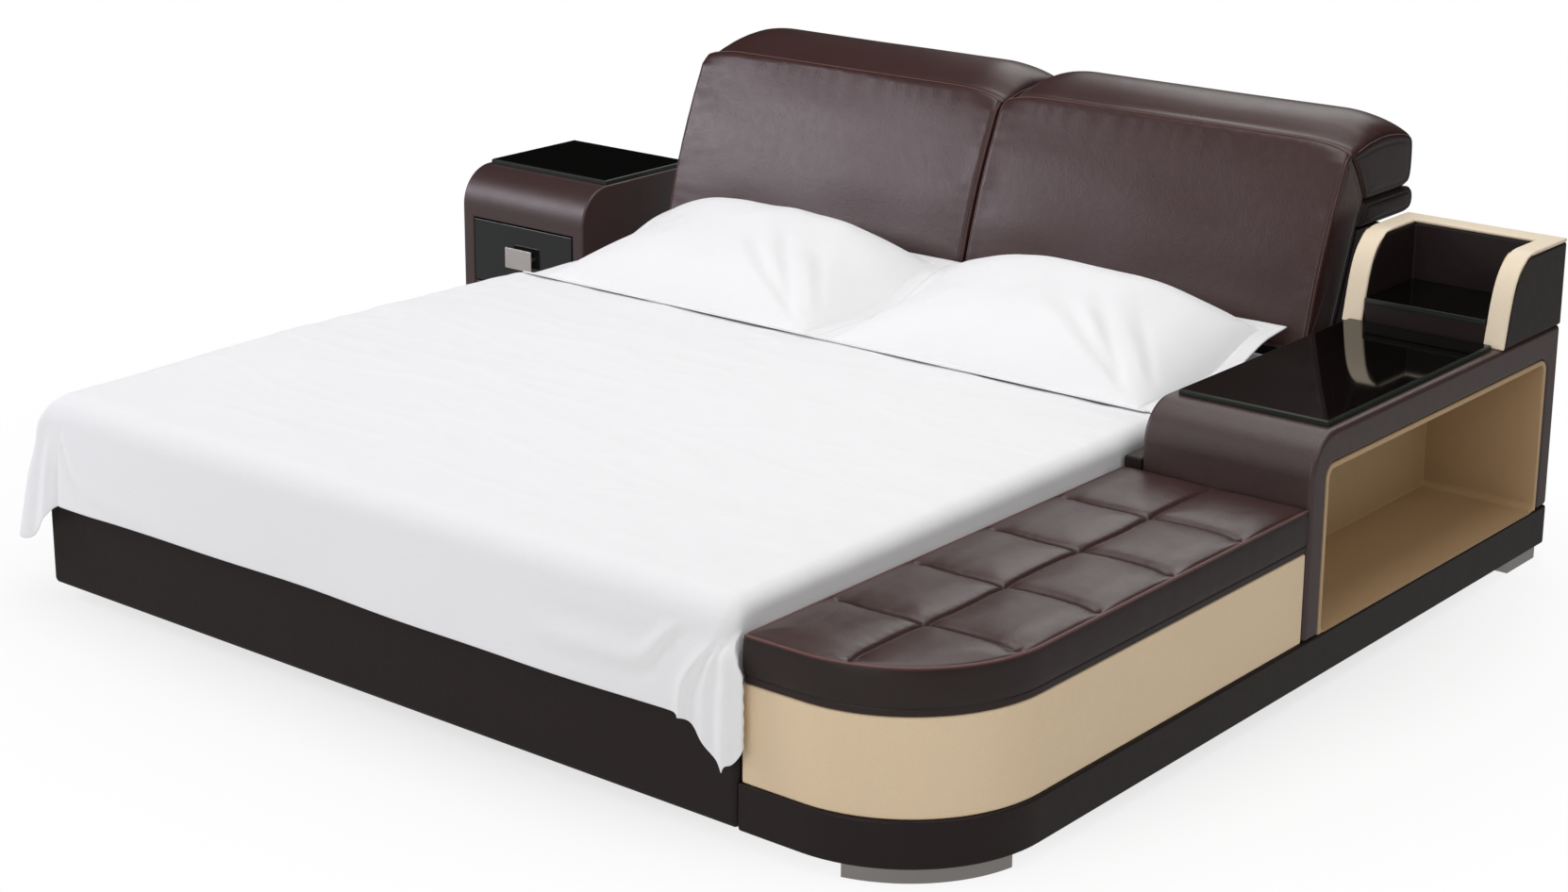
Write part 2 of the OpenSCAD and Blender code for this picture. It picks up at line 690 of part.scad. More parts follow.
// The space in the foam round a ratchet: its disc, its arms, its foot, and the sector in front of
// the arms that the fixed arm crosses when the headrest is raised.
module slot_outline() {
    sweep_r = arm_reach + 40;
    translate([hinge_y, hinge_z]) {
        circle(r = ratchet_r + 1.2);
        rotate(arm_angle) translate([0, -arm_w / 2 - 4]) square([sweep_r, arm_w + 12]);
        polygon(concat([[0, 0]], [for (a = [0 : 15 : 105])
            [sweep_r * cos(arm_angle - a), sweep_r * sin(arm_angle - a)]]));
    }
    translate([hinge_y + foot_y0 - 6, rest_low - 1]) square([foot_l + 12, board_t + foot_t + 4]);
}

arm_end = [crease_end_y - hinge_y + 12, crease_end_z - hinge_z + 14];
arm_angle = atan2(arm_end[1], arm_end[0]);
arm_reach = norm(arm_end);
foot_t = 16;
foot_l = 84;
foot_y0 = arm_end[0] - 16;
board_y0 = hinge_y + arm_end[0] + arm_w / 2 + 3;

// The board in a headrest's underside.
module board_box(x0, x1, grow) {
    box([x0 + 40 - grow, board_y0 - grow, rest_low - (grow > 0 ? 1 : 0)],
        [x1 - 40 + grow, rest_y1 - 50 + grow, rest_low + board_t + grow]);
}

module headrest_left() {
    headrest_foam(left_half[0], left_half[1]);
}

module headrest_right() {
    headrest_foam(right_half[0], right_half[1]);
}

module headrest_board(half) {
    color(timber) placed() board_box(half[0], half[1], 0);
}

module headrest_board_left() {
    headrest_board(left_half);
}

module headrest_board_right() {
    headrest_board(right_half);
}

module bolster() {
    h = bolster_h;
    z0 = bolster_z0;
    y0 = pad_back_y(z0) + 2;
    outline = [[crease_end_y - 2, bolster_top], [bolster_y1 - 20, bolster_top],
        [bolster_y1 - 6, bolster_top - h * 0.14], [bolster_y1, bolster_top - h * 0.34],
        [bolster_y1, bolster_top - h * 0.66], [bolster_y1 - 8, z0 + h * 0.12], [bolster_y1 - 30, z0],
        [y0 + 3, z0], [y0, z0 + 4]];
    color(leather) placed() difference() {
        loft(pad_rings(head_x0, head_x1, outline, [(y0 + bolster_y1) / 2, z0 + h / 2], bolster_top + 99));
        for (half = [left_half, right_half], x = hinge_places(half))
            box([x - plate_t / 2 - soft_gap, y0 - 20, z0 - 1],
                [x + plate_t / 2 + soft_gap, hinge_y + arm_end[0] + arm_w / 2 + 2, bolster_top + 1]);
    }
}

module wall_bumpers() {
    z = bolster_top - bolster_h * 0.5;
    cap_h = 14;
    inset = 34;
    color(black_rubber) placed() for (x = [head_x0 + inset, head_x1 - inset])
        translate([x, bolster_y1, z]) rotate([-90, 0, 0]) {
            cylinder(r = bumper_r * 0.55, h = bumper_l - 1);
            translate([0, 0, bumper_l - cap_h]) cylinder(r = bumper_r, h = cap_h);
        }
}

// ---------------------------------------------------------------- headrest ratchets

// A sector of saw teeth about the axis, opening upwards and back.
function tooth_points() = [for (i = [0 : 5], k = [0, 1])
    let (a = 20 + i * tooth_step, r = k == 0 ? ratchet_r : ratchet_r - tooth_h)
    [r * cos(a + (k == 0 ? 0 : 1)), r * sin(a + (k == 0 ? 0 : 1))]];

module ratchet_plate_outline() {
    difference() {
        union() {
            circle(r = ratchet_r - tooth_h);
            polygon(concat([[0, 0]], tooth_points()));
            rotate(arm_angle) translate([0, -arm_w / 2]) square([arm_reach, arm_w]);
            translate(arm_end) circle(r = arm_w / 2);
            translate([arm_end[0] - arm_w / 2, bolster_z0 - leg_drop - hinge_z])
                square([arm_w, hinge_z - bolster_z0 + leg_drop + arm_end[1]]);
        }
        circle(r = pin_r + pin_clear);
    }
}

module ratchet_plates() {
    color(steel) placed() for (half = [left_half, right_half], x = hinge_places(half))
        translate([x - plate_t / 2, hinge_y, hinge_z]) rotate([90, 0, 90])
            linear_extrude(plate_t) ratchet_plate_outline();
}

cheek_gap = 0.3;
leg_drop = 60;

// A moving cheek: its arm follows the fixed one and ends in a foot on the headrest's board.
module cheek_outline() {
    difference() {
        union() {
            circle(r = ratchet_r - tooth_h);
            rotate(arm_angle) translate([0, -arm_w / 2]) square([arm_reach - 14, arm_w]);
            translate([foot_y0, rest_low + board_t - hinge_z]) square([foot_l, foot_t]);
        }
        circle(r = pin_r + pin_clear);
    }
}

module ratchet_cheeks(half) {
    color(dark_steel) placed() for (x = hinge_places(half), side = [-1, 1])
        translate([x + side * (plate_t / 2 + cheek_gap + cheek_t / 2) - cheek_t / 2, hinge_y, hinge_z])
            rotate([90, 0, 90]) linear_extrude(cheek_t) cheek_outline();
}

module ratchet_cheeks_left() {
    ratchet_cheeks(left_half);
}

module ratchet_cheeks_right() {
    ratchet_cheeks(right_half);
}

module ratchet_pins() {
    half_l = plate_t / 2 + cheek_gap + cheek_t + 1;
    color(steel) placed() for (half = [left_half, right_half], x = hinge_places(half))
        translate([x - half_l, hinge_y, hinge_z]) rotate([0, 90, 0]) cylinder(r = pin_r, h = 2 * half_l);
}

// ---------------------------------------------------------------- left nightstand

module stand_outline() {
    translate([stand_y0, base_z]) square([stand_d, table_top - base_z - stand_r]);
    translate([stand_y0 + stand_r, base_z]) square([stand_d - stand_r, table_top - base_z]);
    translate([stand_y0 + stand_r, table_top - stand_r]) circle(r = stand_r, $fn = 96);
}

module nightstand_body() {
    color(leather) placed() difference() {
        along_x(stand_x0, stand_x1) stand_outline();
        box([stand_bay_x0, stand_y0 - 1, stand_bay_z0], [stand_bay_x1, stand_y1 - stand_back_t, stand_bay_z1]);
        box([stand_x0 + 20, stand_y1 - stand_back_t, stand_bay_z0 - 16],
            [stand_x1 - 20, stand_y1 + 1, stand_bay_z1 + 20]);
    }
}

module nightstand_back() {
    color(timber) placed() box([stand_x0 + 20.1, stand_y1 - stand_back_t, stand_bay_z0 - 15.9],
        [stand_x1 - 20.1, stand_y1, stand_bay_z1 + 19.9]);
}

// A glass top with bevelled upper edges on four clear pads.
module glass_top(a, b) {
    bevel = 3;
    z = table_top + glass_pad_h;
    translate([a[0], a[1], z]) cube([b[0] - a[0], b[1] - a[1], glass_t - bevel]);
    hull() {
        translate([a[0], a[1], z + glass_t - bevel - 0.01]) cube([b[0] - a[0], b[1] - a[1], 0.01]);
        translate([a[0] + bevel, a[1] + bevel, z + glass_t - 0.01])
            cube([b[0] - a[0] - 2 * bevel, b[1] - a[1] - 2 * bevel, 0.01]);
    }
    for (x = [a[0] + 30, b[0] - 30], y = [a[1] + 30, b[1] - 30])
        translate([x, y, table_top]) cylinder(r = 8, h = glass_pad_h);
}

module nightstand_glass() {
    color(black_glass) placed()
        glass_top([stand_x0 + 15, stand_y0 + stand_r - 2], [stand_x1 - 6, stand_y1 - 24]);
}

// Flat steel plates that tie the nightstand to the bed's rail and the headboard.
module link_plates() {
    t = 5;
    w = 40;
    z = base_z + 30;
    color(dark_steel) placed() {
        box([stand_x1, head_y0 - 30 - w, z], [0, head_y0 - 30, z + t]);
        box([stand_x1, rib_y0 + 40, z], [head_x0, rib_y0 + 40 + w, z + t]);
    }
}

module drawer(i) {
    z0 = drawer_z[i] + 20;
    y0 = stand_y0 + front_t + 1;
    color(timber) placed() {
        difference() {
            box([drawer_x0, y0, z0], [drawer_x1, y0 + drawer_l, z0 + drawer_h]);
            box([drawer_x0 + drawer_side_t, y0 + drawer_side_t, z0 + drawer_bottom_t],
                [drawer_x1 - drawer_side_t, y0 + drawer_l - drawer_side_t, z0 + drawer_h + 1]);
        }
        for (x = [drawer_x0 - runner_t, drawer_x1])
            box([x, y0 + 4, z0 + 30], [x + runner_t, y0 + drawer_l, z0 + 30 + runner_h]);
    }
}

module drawer_front(i) {
    color(black_glass) placed()
        box([stand_bay_x0 + front_gap, stand_y0 + 1, drawer_z[i]],
            [stand_bay_x1 - front_gap, stand_y0 + 1 + front_t, drawer_z[i] + drawer_front_h]);
}

// A plate handle on two posts.
module drawer_handle(i) {
    x = (stand_bay_x0 + stand_bay_x1) / 2;
    z = drawer_z[i] + drawer_front_h / 2;
    t = 5;
    color(steel) placed() {
        along_y(stand_y0 + 1 - handle_d, stand_y0 + 1 - handle_d + t)
            translate([x - handle_w / 2, z - handle_h / 2]) soft_rect(handle_w, handle_h, 3);
        for (s = [-1, 1]) translate([x + s * handle_w * 0.32, stand_y0 + 1, z]) rotate([90, 0, 0])
            cylinder(r = 6, h = handle_d - t + 0.5);
    }
}

module upper_drawer() {
    drawer(1);
}

module upper_drawer_front() {
    drawer_front(1);
}

module upper_drawer_handle() {
    drawer_handle(1);
}

module lower_drawer() {
    drawer(0);
}

module lower_drawer_front() {
    drawer_front(0);
}

module lower_drawer_handle() {
    drawer_handle(0);
}

module cabinet_runners() {
    y0 = stand_y0 + front_t + 4;
    color(steel) placed() for (i = [0, 1], x = [stand_bay_x0, stand_bay_x1 - runner_t])
        box([x, y0, drawer_z[i] + 50], [x + runner_t, y0 + drawer_l, drawer_z[i] + 50 + runner_h]);
}

// ---------------------------------------------------------------- bench

// The bench's plan outline, with its large round corner, drawn in by inset.
module bench_plan(x0, inset, y1) {
    y0 = inset;
    x1 = bench_x1 - inset;
    cx = bench_x1 - bench_r;
    translate([x0, y0]) square([cx - x0, y1 - y0]);
    translate([x0, bench_r]) square([x1 - x0, y1 - bench_r]);
    intersection() {
        translate([cx, bench_r]) circle(r = bench_r - inset, $fn = 120);
        translate([cx - 1, 0]) square([bench_r + 1, bench_r + 1]);
    }
}

module raised(z0, z1) {
    translate([0, 0, z0]) linear_extrude(z1 - z0) children();
}

module plinth_fascia() {
    color(leather) placed() difference() {
        raised(base_z, plinth_top) bench_plan(bench_x0, 0, side_y1);
        raised(base_z - 1, plinth_top + 1) bench_plan(bench_x0 - 1, plinth_t, side_y1 - plinth_t);
    }
}

module plinth_boards() {
    color(timber) placed() {
        box([bench_x0, plinth_t + joint_gap, base_z], [bench_x0 + plinth_t, side_y1 - plinth_t - joint_gap, plinth_top]);
        for (y = cross_board_y)
            box([bench_x0 + plinth_t, y, base_z], [bench_x1 - plinth_t - joint_gap, y + plinth_t, plinth_top]);
    }
}

// A curved steel plate under the round corner.
module front_foot() {
    setback = 15;
    t = 10;
    reach = bench_r * 1.7;
    sweep = 64;
    color(steel) placed() intersection() {
        raised(0, base_z) difference() {
            bench_plan(bench_x0, setback, bench_l);
            bench_plan(bench_x0 - 1, setback + t, bench_l + 1);
        }
        translate([bench_x1 - bench_r, bench_r, 0]) rotate(-75) linear_extrude(base_z)
            polygon([[0, 0], [reach, 0], [reach * cos(sweep), reach * sin(sweep)]]);
    }
}

module rear_foot() {
    color(steel) placed() box([bench_x1 - 90, side_y1 - 165, 0], [bench_x1 - 10, side_y1 - 25, base_z]);
}

module storage_box() {
    floor_t = 15;
    color(cream) placed() difference() {
        raised(plinth_top, box_top) bench_plan(box_x0, bench_y0, bench_l);
        raised(plinth_top + floor_t, box_top + 1) bench_plan(box_x0 + box_wall, bench_y0 + box_wall, bench_l - box_wall);
    }
}

module lid_board() {
    color(leather) placed() raised(lid_z0, seat_z0) bench_plan(lid_x0, bench_y0, bench_l);
}

// Height of the seat above its piping: two rows of squares parted by seams.
seat_w = bench_x1 - lid_x0;
function seam_dip(d) = 1 - smooth(abs(d) / 26);
function seat_height(x, y, edge) =
    let (cx = (lid_x0 + bench_x1) / 2 - 1,
         row = abs(((y - bench_y0) / tuft_l) - round((y - bench_y0) / tuft_l)) * tuft_l,
         inner = (y - bench_y0) > tuft_l * 0.5 && (y - bench_y0) < tuft_l * 4.5)
    seat_crown * smooth(edge / 55) - seam_depth * smooth(edge / 40) * max(seam_dip(x - cx), inner ? seam_dip(row) : 0);

// Where the seat's front edge lies at x.
function seat_front(x) = let (cx = bench_x1 - bench_r, r = bench_r - bench_y0)
    x <= cx ? bench_y0 : bench_r - sqrt(max(0, r * r - (x - cx) * (x - cx)));

module seat_cushion() {
    cols = 20;
    rows = 29;
    x_last = bench_x1 - bench_y0;
    function col_x(i) = lerp(lid_x0, x_last, (1 - cos(180 * i / cols)) / 2 * 0.35 + 0.65 * i / cols);
    function row_y(j, x) = lerp(seat_front(x), bench_l, j / rows);
    function edge(x, y) = min(x - lid_x0, x_last - x + 0.01, y - seat_front(x), bench_l - y,
        x > bench_x1 - bench_r && y < bench_r
            ? bench_r - bench_y0 - norm([x - (bench_x1 - bench_r), y - bench_r]) : 1000);
    upper = [for (j = [0 : rows]) [for (i = [0 : cols]) let (x = col_x(i), y = row_y(j, x))
        [x, y, seat_top + seat_height(x, y, max(0, edge(x, y)))]]];
    lower = [for (row = upper) [for (p = row) [p[0], p[1], seat_z0]]];
    color(leather) placed() sheet_solid(lower, upper);
}

module seat_piping() {
    z = seat_top - piping_r;
    out = 0.4;
    color(leather) placed() raised(z - piping_r, z + piping_r) difference() {
        bench_plan(lid_x0 + 30, bench_y0 - out - piping_r, bench_l - 1);
        bench_plan(lid_x0 + 29, bench_y0 - out + 0.1, bench_l);
    }
}

// ---------------------------------------------------------------- lid hinge

hinge_y0 = bench_y0 + 60;
hinge_y1 = bench_l - 60;
knuckle_l = (hinge_y1 - hinge_y0) / knuckle_count;
leaf_t = 2;

module knuckles(first) {
    for (i = [first : 2 : knuckle_count - 1])
        translate([hinge_x, hinge_y0 + (i + 1) * knuckle_l - 0.5, lid_hinge_z]) rotate([90, 0, 0])
            difference() {
                cylinder(r = knuckle_r, h = knuckle_l - 1);
                translate([0, 0, -1]) cylinder(r = lid_pin_r + (first == 0 ? 0 : pin_clear), h = knuckle_l + 1);
            }
}

module hinge_leaf_fixed() {
    x = box_x0 - leaf_t;
    color(steel) placed() {
        difference() {
            union() {
                knuckles(0);
                for (i = [0 : 2 : knuckle_count - 1])
                    box([x, hinge_y0 + i * knuckle_l + 0.5, box_top - 60],
                        [box_x0, hinge_y0 + (i + 1) * knuckle_l - 0.5, lid_hinge_z]);
                box([x, hinge_y0, box_top - 60], [box_x0, hinge_y1, box_top]);
            }
            translate([hinge_x, hinge_y0 - 1, lid_hinge_z]) rotate([-90, 0, 0])
                cylinder(r = lid_pin_r, h = hinge_y1 - hinge_y0 + 2);
        }
        translate([hinge_x, hinge_y0, lid_hinge_z]) rotate([-90, 0, 0])
            cylinder(r = lid_pin_r, h = hinge_y1 - hinge_y0);
    }
}

module hinge_leaf_moving() {
    x = lid_x0 - leaf_t;
    color(steel) placed() difference() {
        union() {
            knuckles(1);
            for (i = [1 : 2 : knuckle_count - 1])
                box([x, hinge_y0 + i * knuckle_l + 0.5, lid_z0 + 2],
                    [lid_x0, hinge_y0 + (i + 1) * knuckle_l - 0.5, lid_hinge_z]);
            box([x, hinge_y0, lid_z0 + 2], [lid_x0, hinge_y1, lid_hinge_z - knuckle_r - 3]);
        }
        translate([hinge_x, hinge_y0 - 1, lid_hinge_z]) rotate([-90, 0, 0])
            cylinder(r = lid_pin_r + pin_clear, h = hinge_y1 - hinge_y0 + 2);
    }
}

// ---------------------------------------------------------------- table and hutch

module mattress_fence() {
    color(leather) placed() box([box_x0, table_y0, plinth_top], [table_x0, side_y1, mattress_top - 25]);
}

module table_outline() {
    h = table_top - plinth_top;
    l = side_y1 - table_y0;
    translate([table_y0, plinth_top]) square([l, h - table_r]);
    translate([table_y0 + table_r, plinth_top]) square([l - table_r, h]);
    translate([table_y0 + table_r, table_top - table_r]) circle(r = table_r, $fn = 96);
}

module table_shell() {
    skirt = 60;
    color(leather) placed() difference() {
        along_x(table_x0, bench_x1) table_outline();
        along_x(table_x0 + plinth_t, bench_x1 + 1) translate([cubby_y0 - liner_t, plinth_top - skirt])
            soft_rect(cubby_y1 - cubby_y0 + 2 * liner_t, cubby_z1 + liner_t - plinth_top + skirt, cubby_r + liner_t);
    }
}

// The cream box of the cubby, open towards the side.
module cubby_liner() {
    w = cubby_y1 - cubby_y0;
    h = cubby_z1 - cubby_z0;
    grow = liner_t - joint_gap;
    color(cream) placed() difference() {
        along_x(cubby_x0 - liner_t, bench_x1 - 1) translate([cubby_y0 - grow, plinth_top]) {
            soft_rect(w + 2 * grow, h + cubby_floor_t + grow, cubby_r + grow);
            square([w + 2 * grow, h / 2]);
        }
        along_x(cubby_x0, bench_x1 + 1) translate([cubby_y0, cubby_z0]) soft_rect(w, h, cubby_r);
    }
}

module table_glass() {
    color(black_glass) placed()
        glass_top([table_x0 + 28, table_y0 + table_r + 5], [bench_x1 - 23, hutch_y0 - 11]);
}

// The front edge of the hutch's side: it leans back a little and rounds into a level top.
hutch_lean = 44;
hutch_round = 90;
function hutch_front(t) = [hutch_y0 + hutch_lean * t + hutch_round * (1 - sqrt(1 - pow(t, 5))),
    table_top + hutch_h * t];

module hutch_side_outline(cut) {
    n = 16;
    curve = [for (i = [0 : n]) let (t = 1 - pow(1 - i / n, 1.8)) hutch_front(t) + [cut, 0]];
    intersection() {
        polygon(concat(curve, [[side_y1, table_top + hutch_h], [side_y1, table_top]]));
        translate([hutch_y0, table_top]) square([hutch_d, hutch_h - cut]);
    }
}

hutch_back_t = 57;

module hutch() {
    x0 = hutch_x0;
    x1 = bench_x1;
    inner_y1 = side_y1 - hutch_back_t;
    color(leather) placed() {
        along_x(x0, x0 + hutch_wall) hutch_side_outline(trim_t);
        along_x(x1 - hutch_wall, x1) hutch_side_outline(trim_t);
        box([x0 + hutch_wall - 1, inner_y1, table_top], [x1 - hutch_wall + 1, side_y1, table_top + hutch_h - trim_t]);
    }
}

module hutch_riser() {
    setback = 10;
    color(leather) placed() box([hutch_x0 + hutch_wall + joint_gap, hutch_y0 + setback, table_top],
        [bench_x1 - hutch_wall - joint_gap, side_y1 - hutch_back_t - joint_gap, table_top + riser_h]);
}

module hutch_glass() {
    play = 3;
    color(black_glass) placed() box([hutch_x0 + hutch_wall + play, hutch_y0 + 2 * play, table_top + riser_h],
        [bench_x1 - hutch_wall - play, side_y1 - hutch_back_t - play, table_top + riser_h + glass_t]);
}

module hutch_trim() {
    x0 = hutch_x0;
    x1 = bench_x1;
    y1 = side_y1 - hutch_back_t;
    color(cream) placed() {
        for (x = [x0, x1 - hutch_wall]) difference() {
            along_x(x, x + hutch_wall) hutch_side_outline(0);
            along_x(x - 1, x + hutch_wall + 1) hutch_side_outline(trim_t);
        }
        box([x0 + hutch_wall, y1, table_top + hutch_h - trim_t], [x1 - hutch_wall, side_y1, table_top + hutch_h]);
    }
}

foot_rail();
left_side_rail();
right_side_rail();
head_rail();
corner_blocks();
rubber_feet();
centre_beam();
centre_legs();
slat_bearers();
slats();
slat_caps();
frame_bolts();
mattress();
bed_cover();
pillow_left();
pillow_right();
headboard_front_board();
headboard_ribs();
headboard_back_panel();
bolster();
wall_bumpers();
back_pad_left();
back_pad_right();
headrest_left();
headrest_right();
headrest_board_left();
headrest_board_right();
ratchet_plates();
ratchet_cheeks_left();
ratchet_cheeks_right();
ratchet_pins();
nightstand_body();
nightstand_back();
nightstand_glass();
link_plates();
upper_drawer();
upper_drawer_front();
upper_drawer_handle();
lower_drawer();
lower_drawer_front();
lower_drawer_handle();
cabinet_runners();
plinth_fascia();
plinth_boards();
front_foot();
rear_foot();
storage_box();
lid_board();
seat_cushion();
seat_piping();
hinge_leaf_fixed();
hinge_leaf_moving();
mattress_fence();
table_shell();
cubby_liner();
table_glass();
hutch();
hutch_trim();
hutch_riser();
hutch_glass();
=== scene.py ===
"""Looks of the upholstered bed: leather, bedding, glass, metal and the studio round it."""

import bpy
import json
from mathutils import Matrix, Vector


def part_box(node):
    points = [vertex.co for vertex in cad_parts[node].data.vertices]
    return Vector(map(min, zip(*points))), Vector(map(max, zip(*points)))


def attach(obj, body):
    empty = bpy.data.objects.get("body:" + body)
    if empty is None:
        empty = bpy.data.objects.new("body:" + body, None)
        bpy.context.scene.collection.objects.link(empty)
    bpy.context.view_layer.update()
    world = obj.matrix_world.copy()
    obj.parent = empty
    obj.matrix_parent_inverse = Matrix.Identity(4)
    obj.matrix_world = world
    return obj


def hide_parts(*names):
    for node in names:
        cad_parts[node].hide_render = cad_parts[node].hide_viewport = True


bl_info = {
    "name": "Leather bed with storage bench",
    "version": (1, 0, 0),
    "blender": (4, 5, 0),
    "location": "View3D > Sidebar > Bed",
    "description": "Dresses the packed bed in leather, bedding and glass, and lights it",
    "category": "Object",
}

import json
import math
from contextlib import contextmanager

import bmesh
import bpy
import numpy as np
from bpy.props import FloatProperty, FloatVectorProperty, PointerProperty
from mathutils import Matrix, Vector, noise

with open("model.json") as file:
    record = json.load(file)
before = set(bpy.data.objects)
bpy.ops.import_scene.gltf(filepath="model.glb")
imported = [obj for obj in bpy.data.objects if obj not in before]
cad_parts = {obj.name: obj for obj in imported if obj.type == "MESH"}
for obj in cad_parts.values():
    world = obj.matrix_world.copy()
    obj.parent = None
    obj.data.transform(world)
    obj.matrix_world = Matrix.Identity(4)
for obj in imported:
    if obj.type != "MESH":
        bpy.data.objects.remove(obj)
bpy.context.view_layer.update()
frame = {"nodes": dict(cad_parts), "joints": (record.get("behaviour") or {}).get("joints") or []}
NODES = frame["nodes"]
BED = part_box("foot_rail")[0]
FRONT_LEFT = np.array((BED[0], BED[1], 0.0))

# Points closer than this are one, in metres; edges turned more than SHARP are rolled.
WELD = 0.00002
FLAT, SHARP = math.radians(0.6), math.radians(30.0)
# A pad's end seam: how far it lies in from the end, how deep and how wide it pulls the skin.
SEAM_IN, GROOVE, GROOVE_WIDE = 4.2, 1.8, 1.6
SEAM_RADIUS, STITCHES_IN = 1.1, 11.0
# A pad's end edges, the swell of its side panels, its slope, thickness and the foot of its face.
PAD_RADIUS, PAD_PUFF = 14.0, 1.5
PAD_LEAN, PAD_THICK, PAD_FOOT = 0.36, 135.0, (2052.0, 478.0)
NOSE_RADIUS = 21.2
# Where the two ratchets sit, as shares of a headrest's width.
HINGE_AT = (0.24, 0.76)
# Where the camera stands, in millimetres from the bed's front left corner.
CAMERA_SPOT = (5123.9, -3722.7, 2344.9)
COOL, WHITE = (0.95, 0.91, 1.0), (1.0, 1.0, 1.0)
FLOOR_HALF = 30.0
# How bright the floor shows to the camera near the bed, and in reflections.
NEAR_GLOW, FLOOR_MIRRORED = 0.72, 0.36


def span(node):
    """A node's box in millimetres, measured from the bed's front left corner."""
    low, high = (np.array(c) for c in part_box(node))
    return (low - FRONT_LEFT) * 1000, (high - FRONT_LEFT) * 1000


def place(points):
    """Points in millimetres from the bed's front left corner, as metres in the frame."""
    return np.asarray(points, float) / 1000 + FRONT_LEFT


def joint_point(name):
    """Where a joint's axis lies, in millimetres from the bed's front left corner."""
    joint = next(j for j in frame["joints"] if j["name"] == name)
    return (np.array(joint["pos_m"]) - FRONT_LEFT) * 1000


def smooth(t):
    """An even step from 0 to 1."""
    t = np.clip(t, 0, 1)
    return t * t * (3 - 2 * t)


def hump(x, at, wide):
    """A bell of height 1 at `at`."""
    return np.exp(-((x - at) / wide) ** 2)


def field(x, y, z, grain=1.0):
    """Smooth noise from -1 to 1 at each point of two arrays, `grain` cells to a millimetre."""
    flat = [noise.noise((a, b, z)) for a, b in zip(np.ravel(x * grain), np.ravel(y * grain))]
    return np.array(flat).reshape(np.shape(x))


# ------------------ sizes and colours


class BedFinish(bpy.types.PropertyGroup):
    """Colours and gloss of the bed's materials"""

    dark: FloatVectorProperty(name="Dark leather", description="Colour of the dark leather",
                              subtype="COLOR", default=(0.0510, 0.0222, 0.0198))
    # The deep leather is the dark leather at about half its brightness: painted shade on the low and recessed
    # pieces, the rails, plinth, boards, bolster, ribs and hutch.
    deep: FloatVectorProperty(name="Deep leather", description="Colour of the leather on the frame",
                              subtype="COLOR", default=(0.0205, 0.0125, 0.0112))
    cream: FloatVectorProperty(name="Cream leather", description="Colour of the cream leather",
                               subtype="COLOR", default=(0.80, 0.62, 0.41))
    cotton: FloatVectorProperty(name="Cotton", description="Colour of the bedding",
                                subtype="COLOR", default=(0.87, 0.87, 0.875))
    steel: FloatVectorProperty(name="Steel", description="Colour of the satin steel",
                               subtype="COLOR", default=(0.56, 0.53, 0.50))
    timber: FloatVectorProperty(name="Timber", description="Colour of the frame's timber",
                                subtype="COLOR", default=(0.58, 0.41, 0.25))
    gloss: FloatProperty(name="Leather roughness", description="Roughness of the dark leather",
                         default=0.34, min=0.2, max=0.8)


class BedSizes(bpy.types.PropertyGroup):
    """Sizes of the soft pieces"""

    crown: FloatProperty(name="Seat crown", description="Rise of a tufted square above the piping",
                         unit="LENGTH", default=0.013)
    seam: FloatProperty(name="Seam depth", description="Depth of a seat seam below the squares",
                        unit="LENGTH", default=0.013)
    flange: FloatProperty(name="Pillow border", description="Width of a pillow's flat border",
                          unit="LENGTH", default=0.042)
    stitch: FloatProperty(name="Stitch spacing", description="Distance from one stitch to the next",
                          unit="LENGTH", default=0.008)


class BedStage(bpy.types.PropertyGroup):
    """Camera and light"""

    lens: FloatProperty(name="Lens", description="Focal length of the camera", unit="CAMERA",
                        default=66.72)
    azimuth: FloatProperty(name="Azimuth", description="Direction of the camera round the bed",
                           subtype="ANGLE", default=0.6816)
    elevation: FloatProperty(name="Elevation", description="Height angle of the camera",
                             subtype="ANGLE", default=0.2744)
    roll: FloatProperty(name="Roll", description="Turn of the camera about its own axis",
                        subtype="ANGLE", default=0.0059)
    lift: FloatProperty(name="Shift", description="Upward shift of the frame", default=-0.0722)
    key: FloatProperty(name="Key light", description="Power of the large front lamp",
                       unit="POWER", default=66.0)
    top: FloatProperty(name="Top light", description="Power of the overhead lamp",
                       unit="POWER", default=106.0)
    sheen: FloatProperty(name="Sheen light", description="Power of the lamp that glances off the pads",
                         unit="POWER", default=112.0)
    rim: FloatProperty(name="Rear light", description="Power of the lamp behind the bed",
                       unit="POWER", default=56.0)
    side: FloatProperty(name="Side light", description="Power of the lamp on the bench's side",
                        unit="POWER", default=34.0)
    room: FloatProperty(name="Room light", description="Strength of the even light all round",
                        default=0.31)
    mirror: FloatProperty(name="Room reflections", description="Strength of the even light in reflections",
                          default=0.01, max=1.0)


# ------------------ shader maths


def overload(operation, reflected=False):
    """A Value's method that adds a Math node."""

    def method(self, other):
        pair = (other, self) if reflected else (self, other)
        return self.nodes.get("ShaderNodeMath", {"operation": operation}, dict(enumerate(pair)))

    return method


class Value:
    """A shader socket that takes part in Python expressions."""

    def __init__(self, nodes, socket):
        self.nodes, self.socket = nodes, socket

    __add__, __radd__ = overload("ADD"), overload("ADD", True)
    __sub__, __rsub__ = overload("SUBTRACT"), overload("SUBTRACT", True)
    __mul__, __rmul__ = overload("MULTIPLY"), overload("MULTIPLY", True)
    __pow__ = overload("POWER")

    def __abs__(self):
        return overload("ABSOLUTE")(self, 0.0)


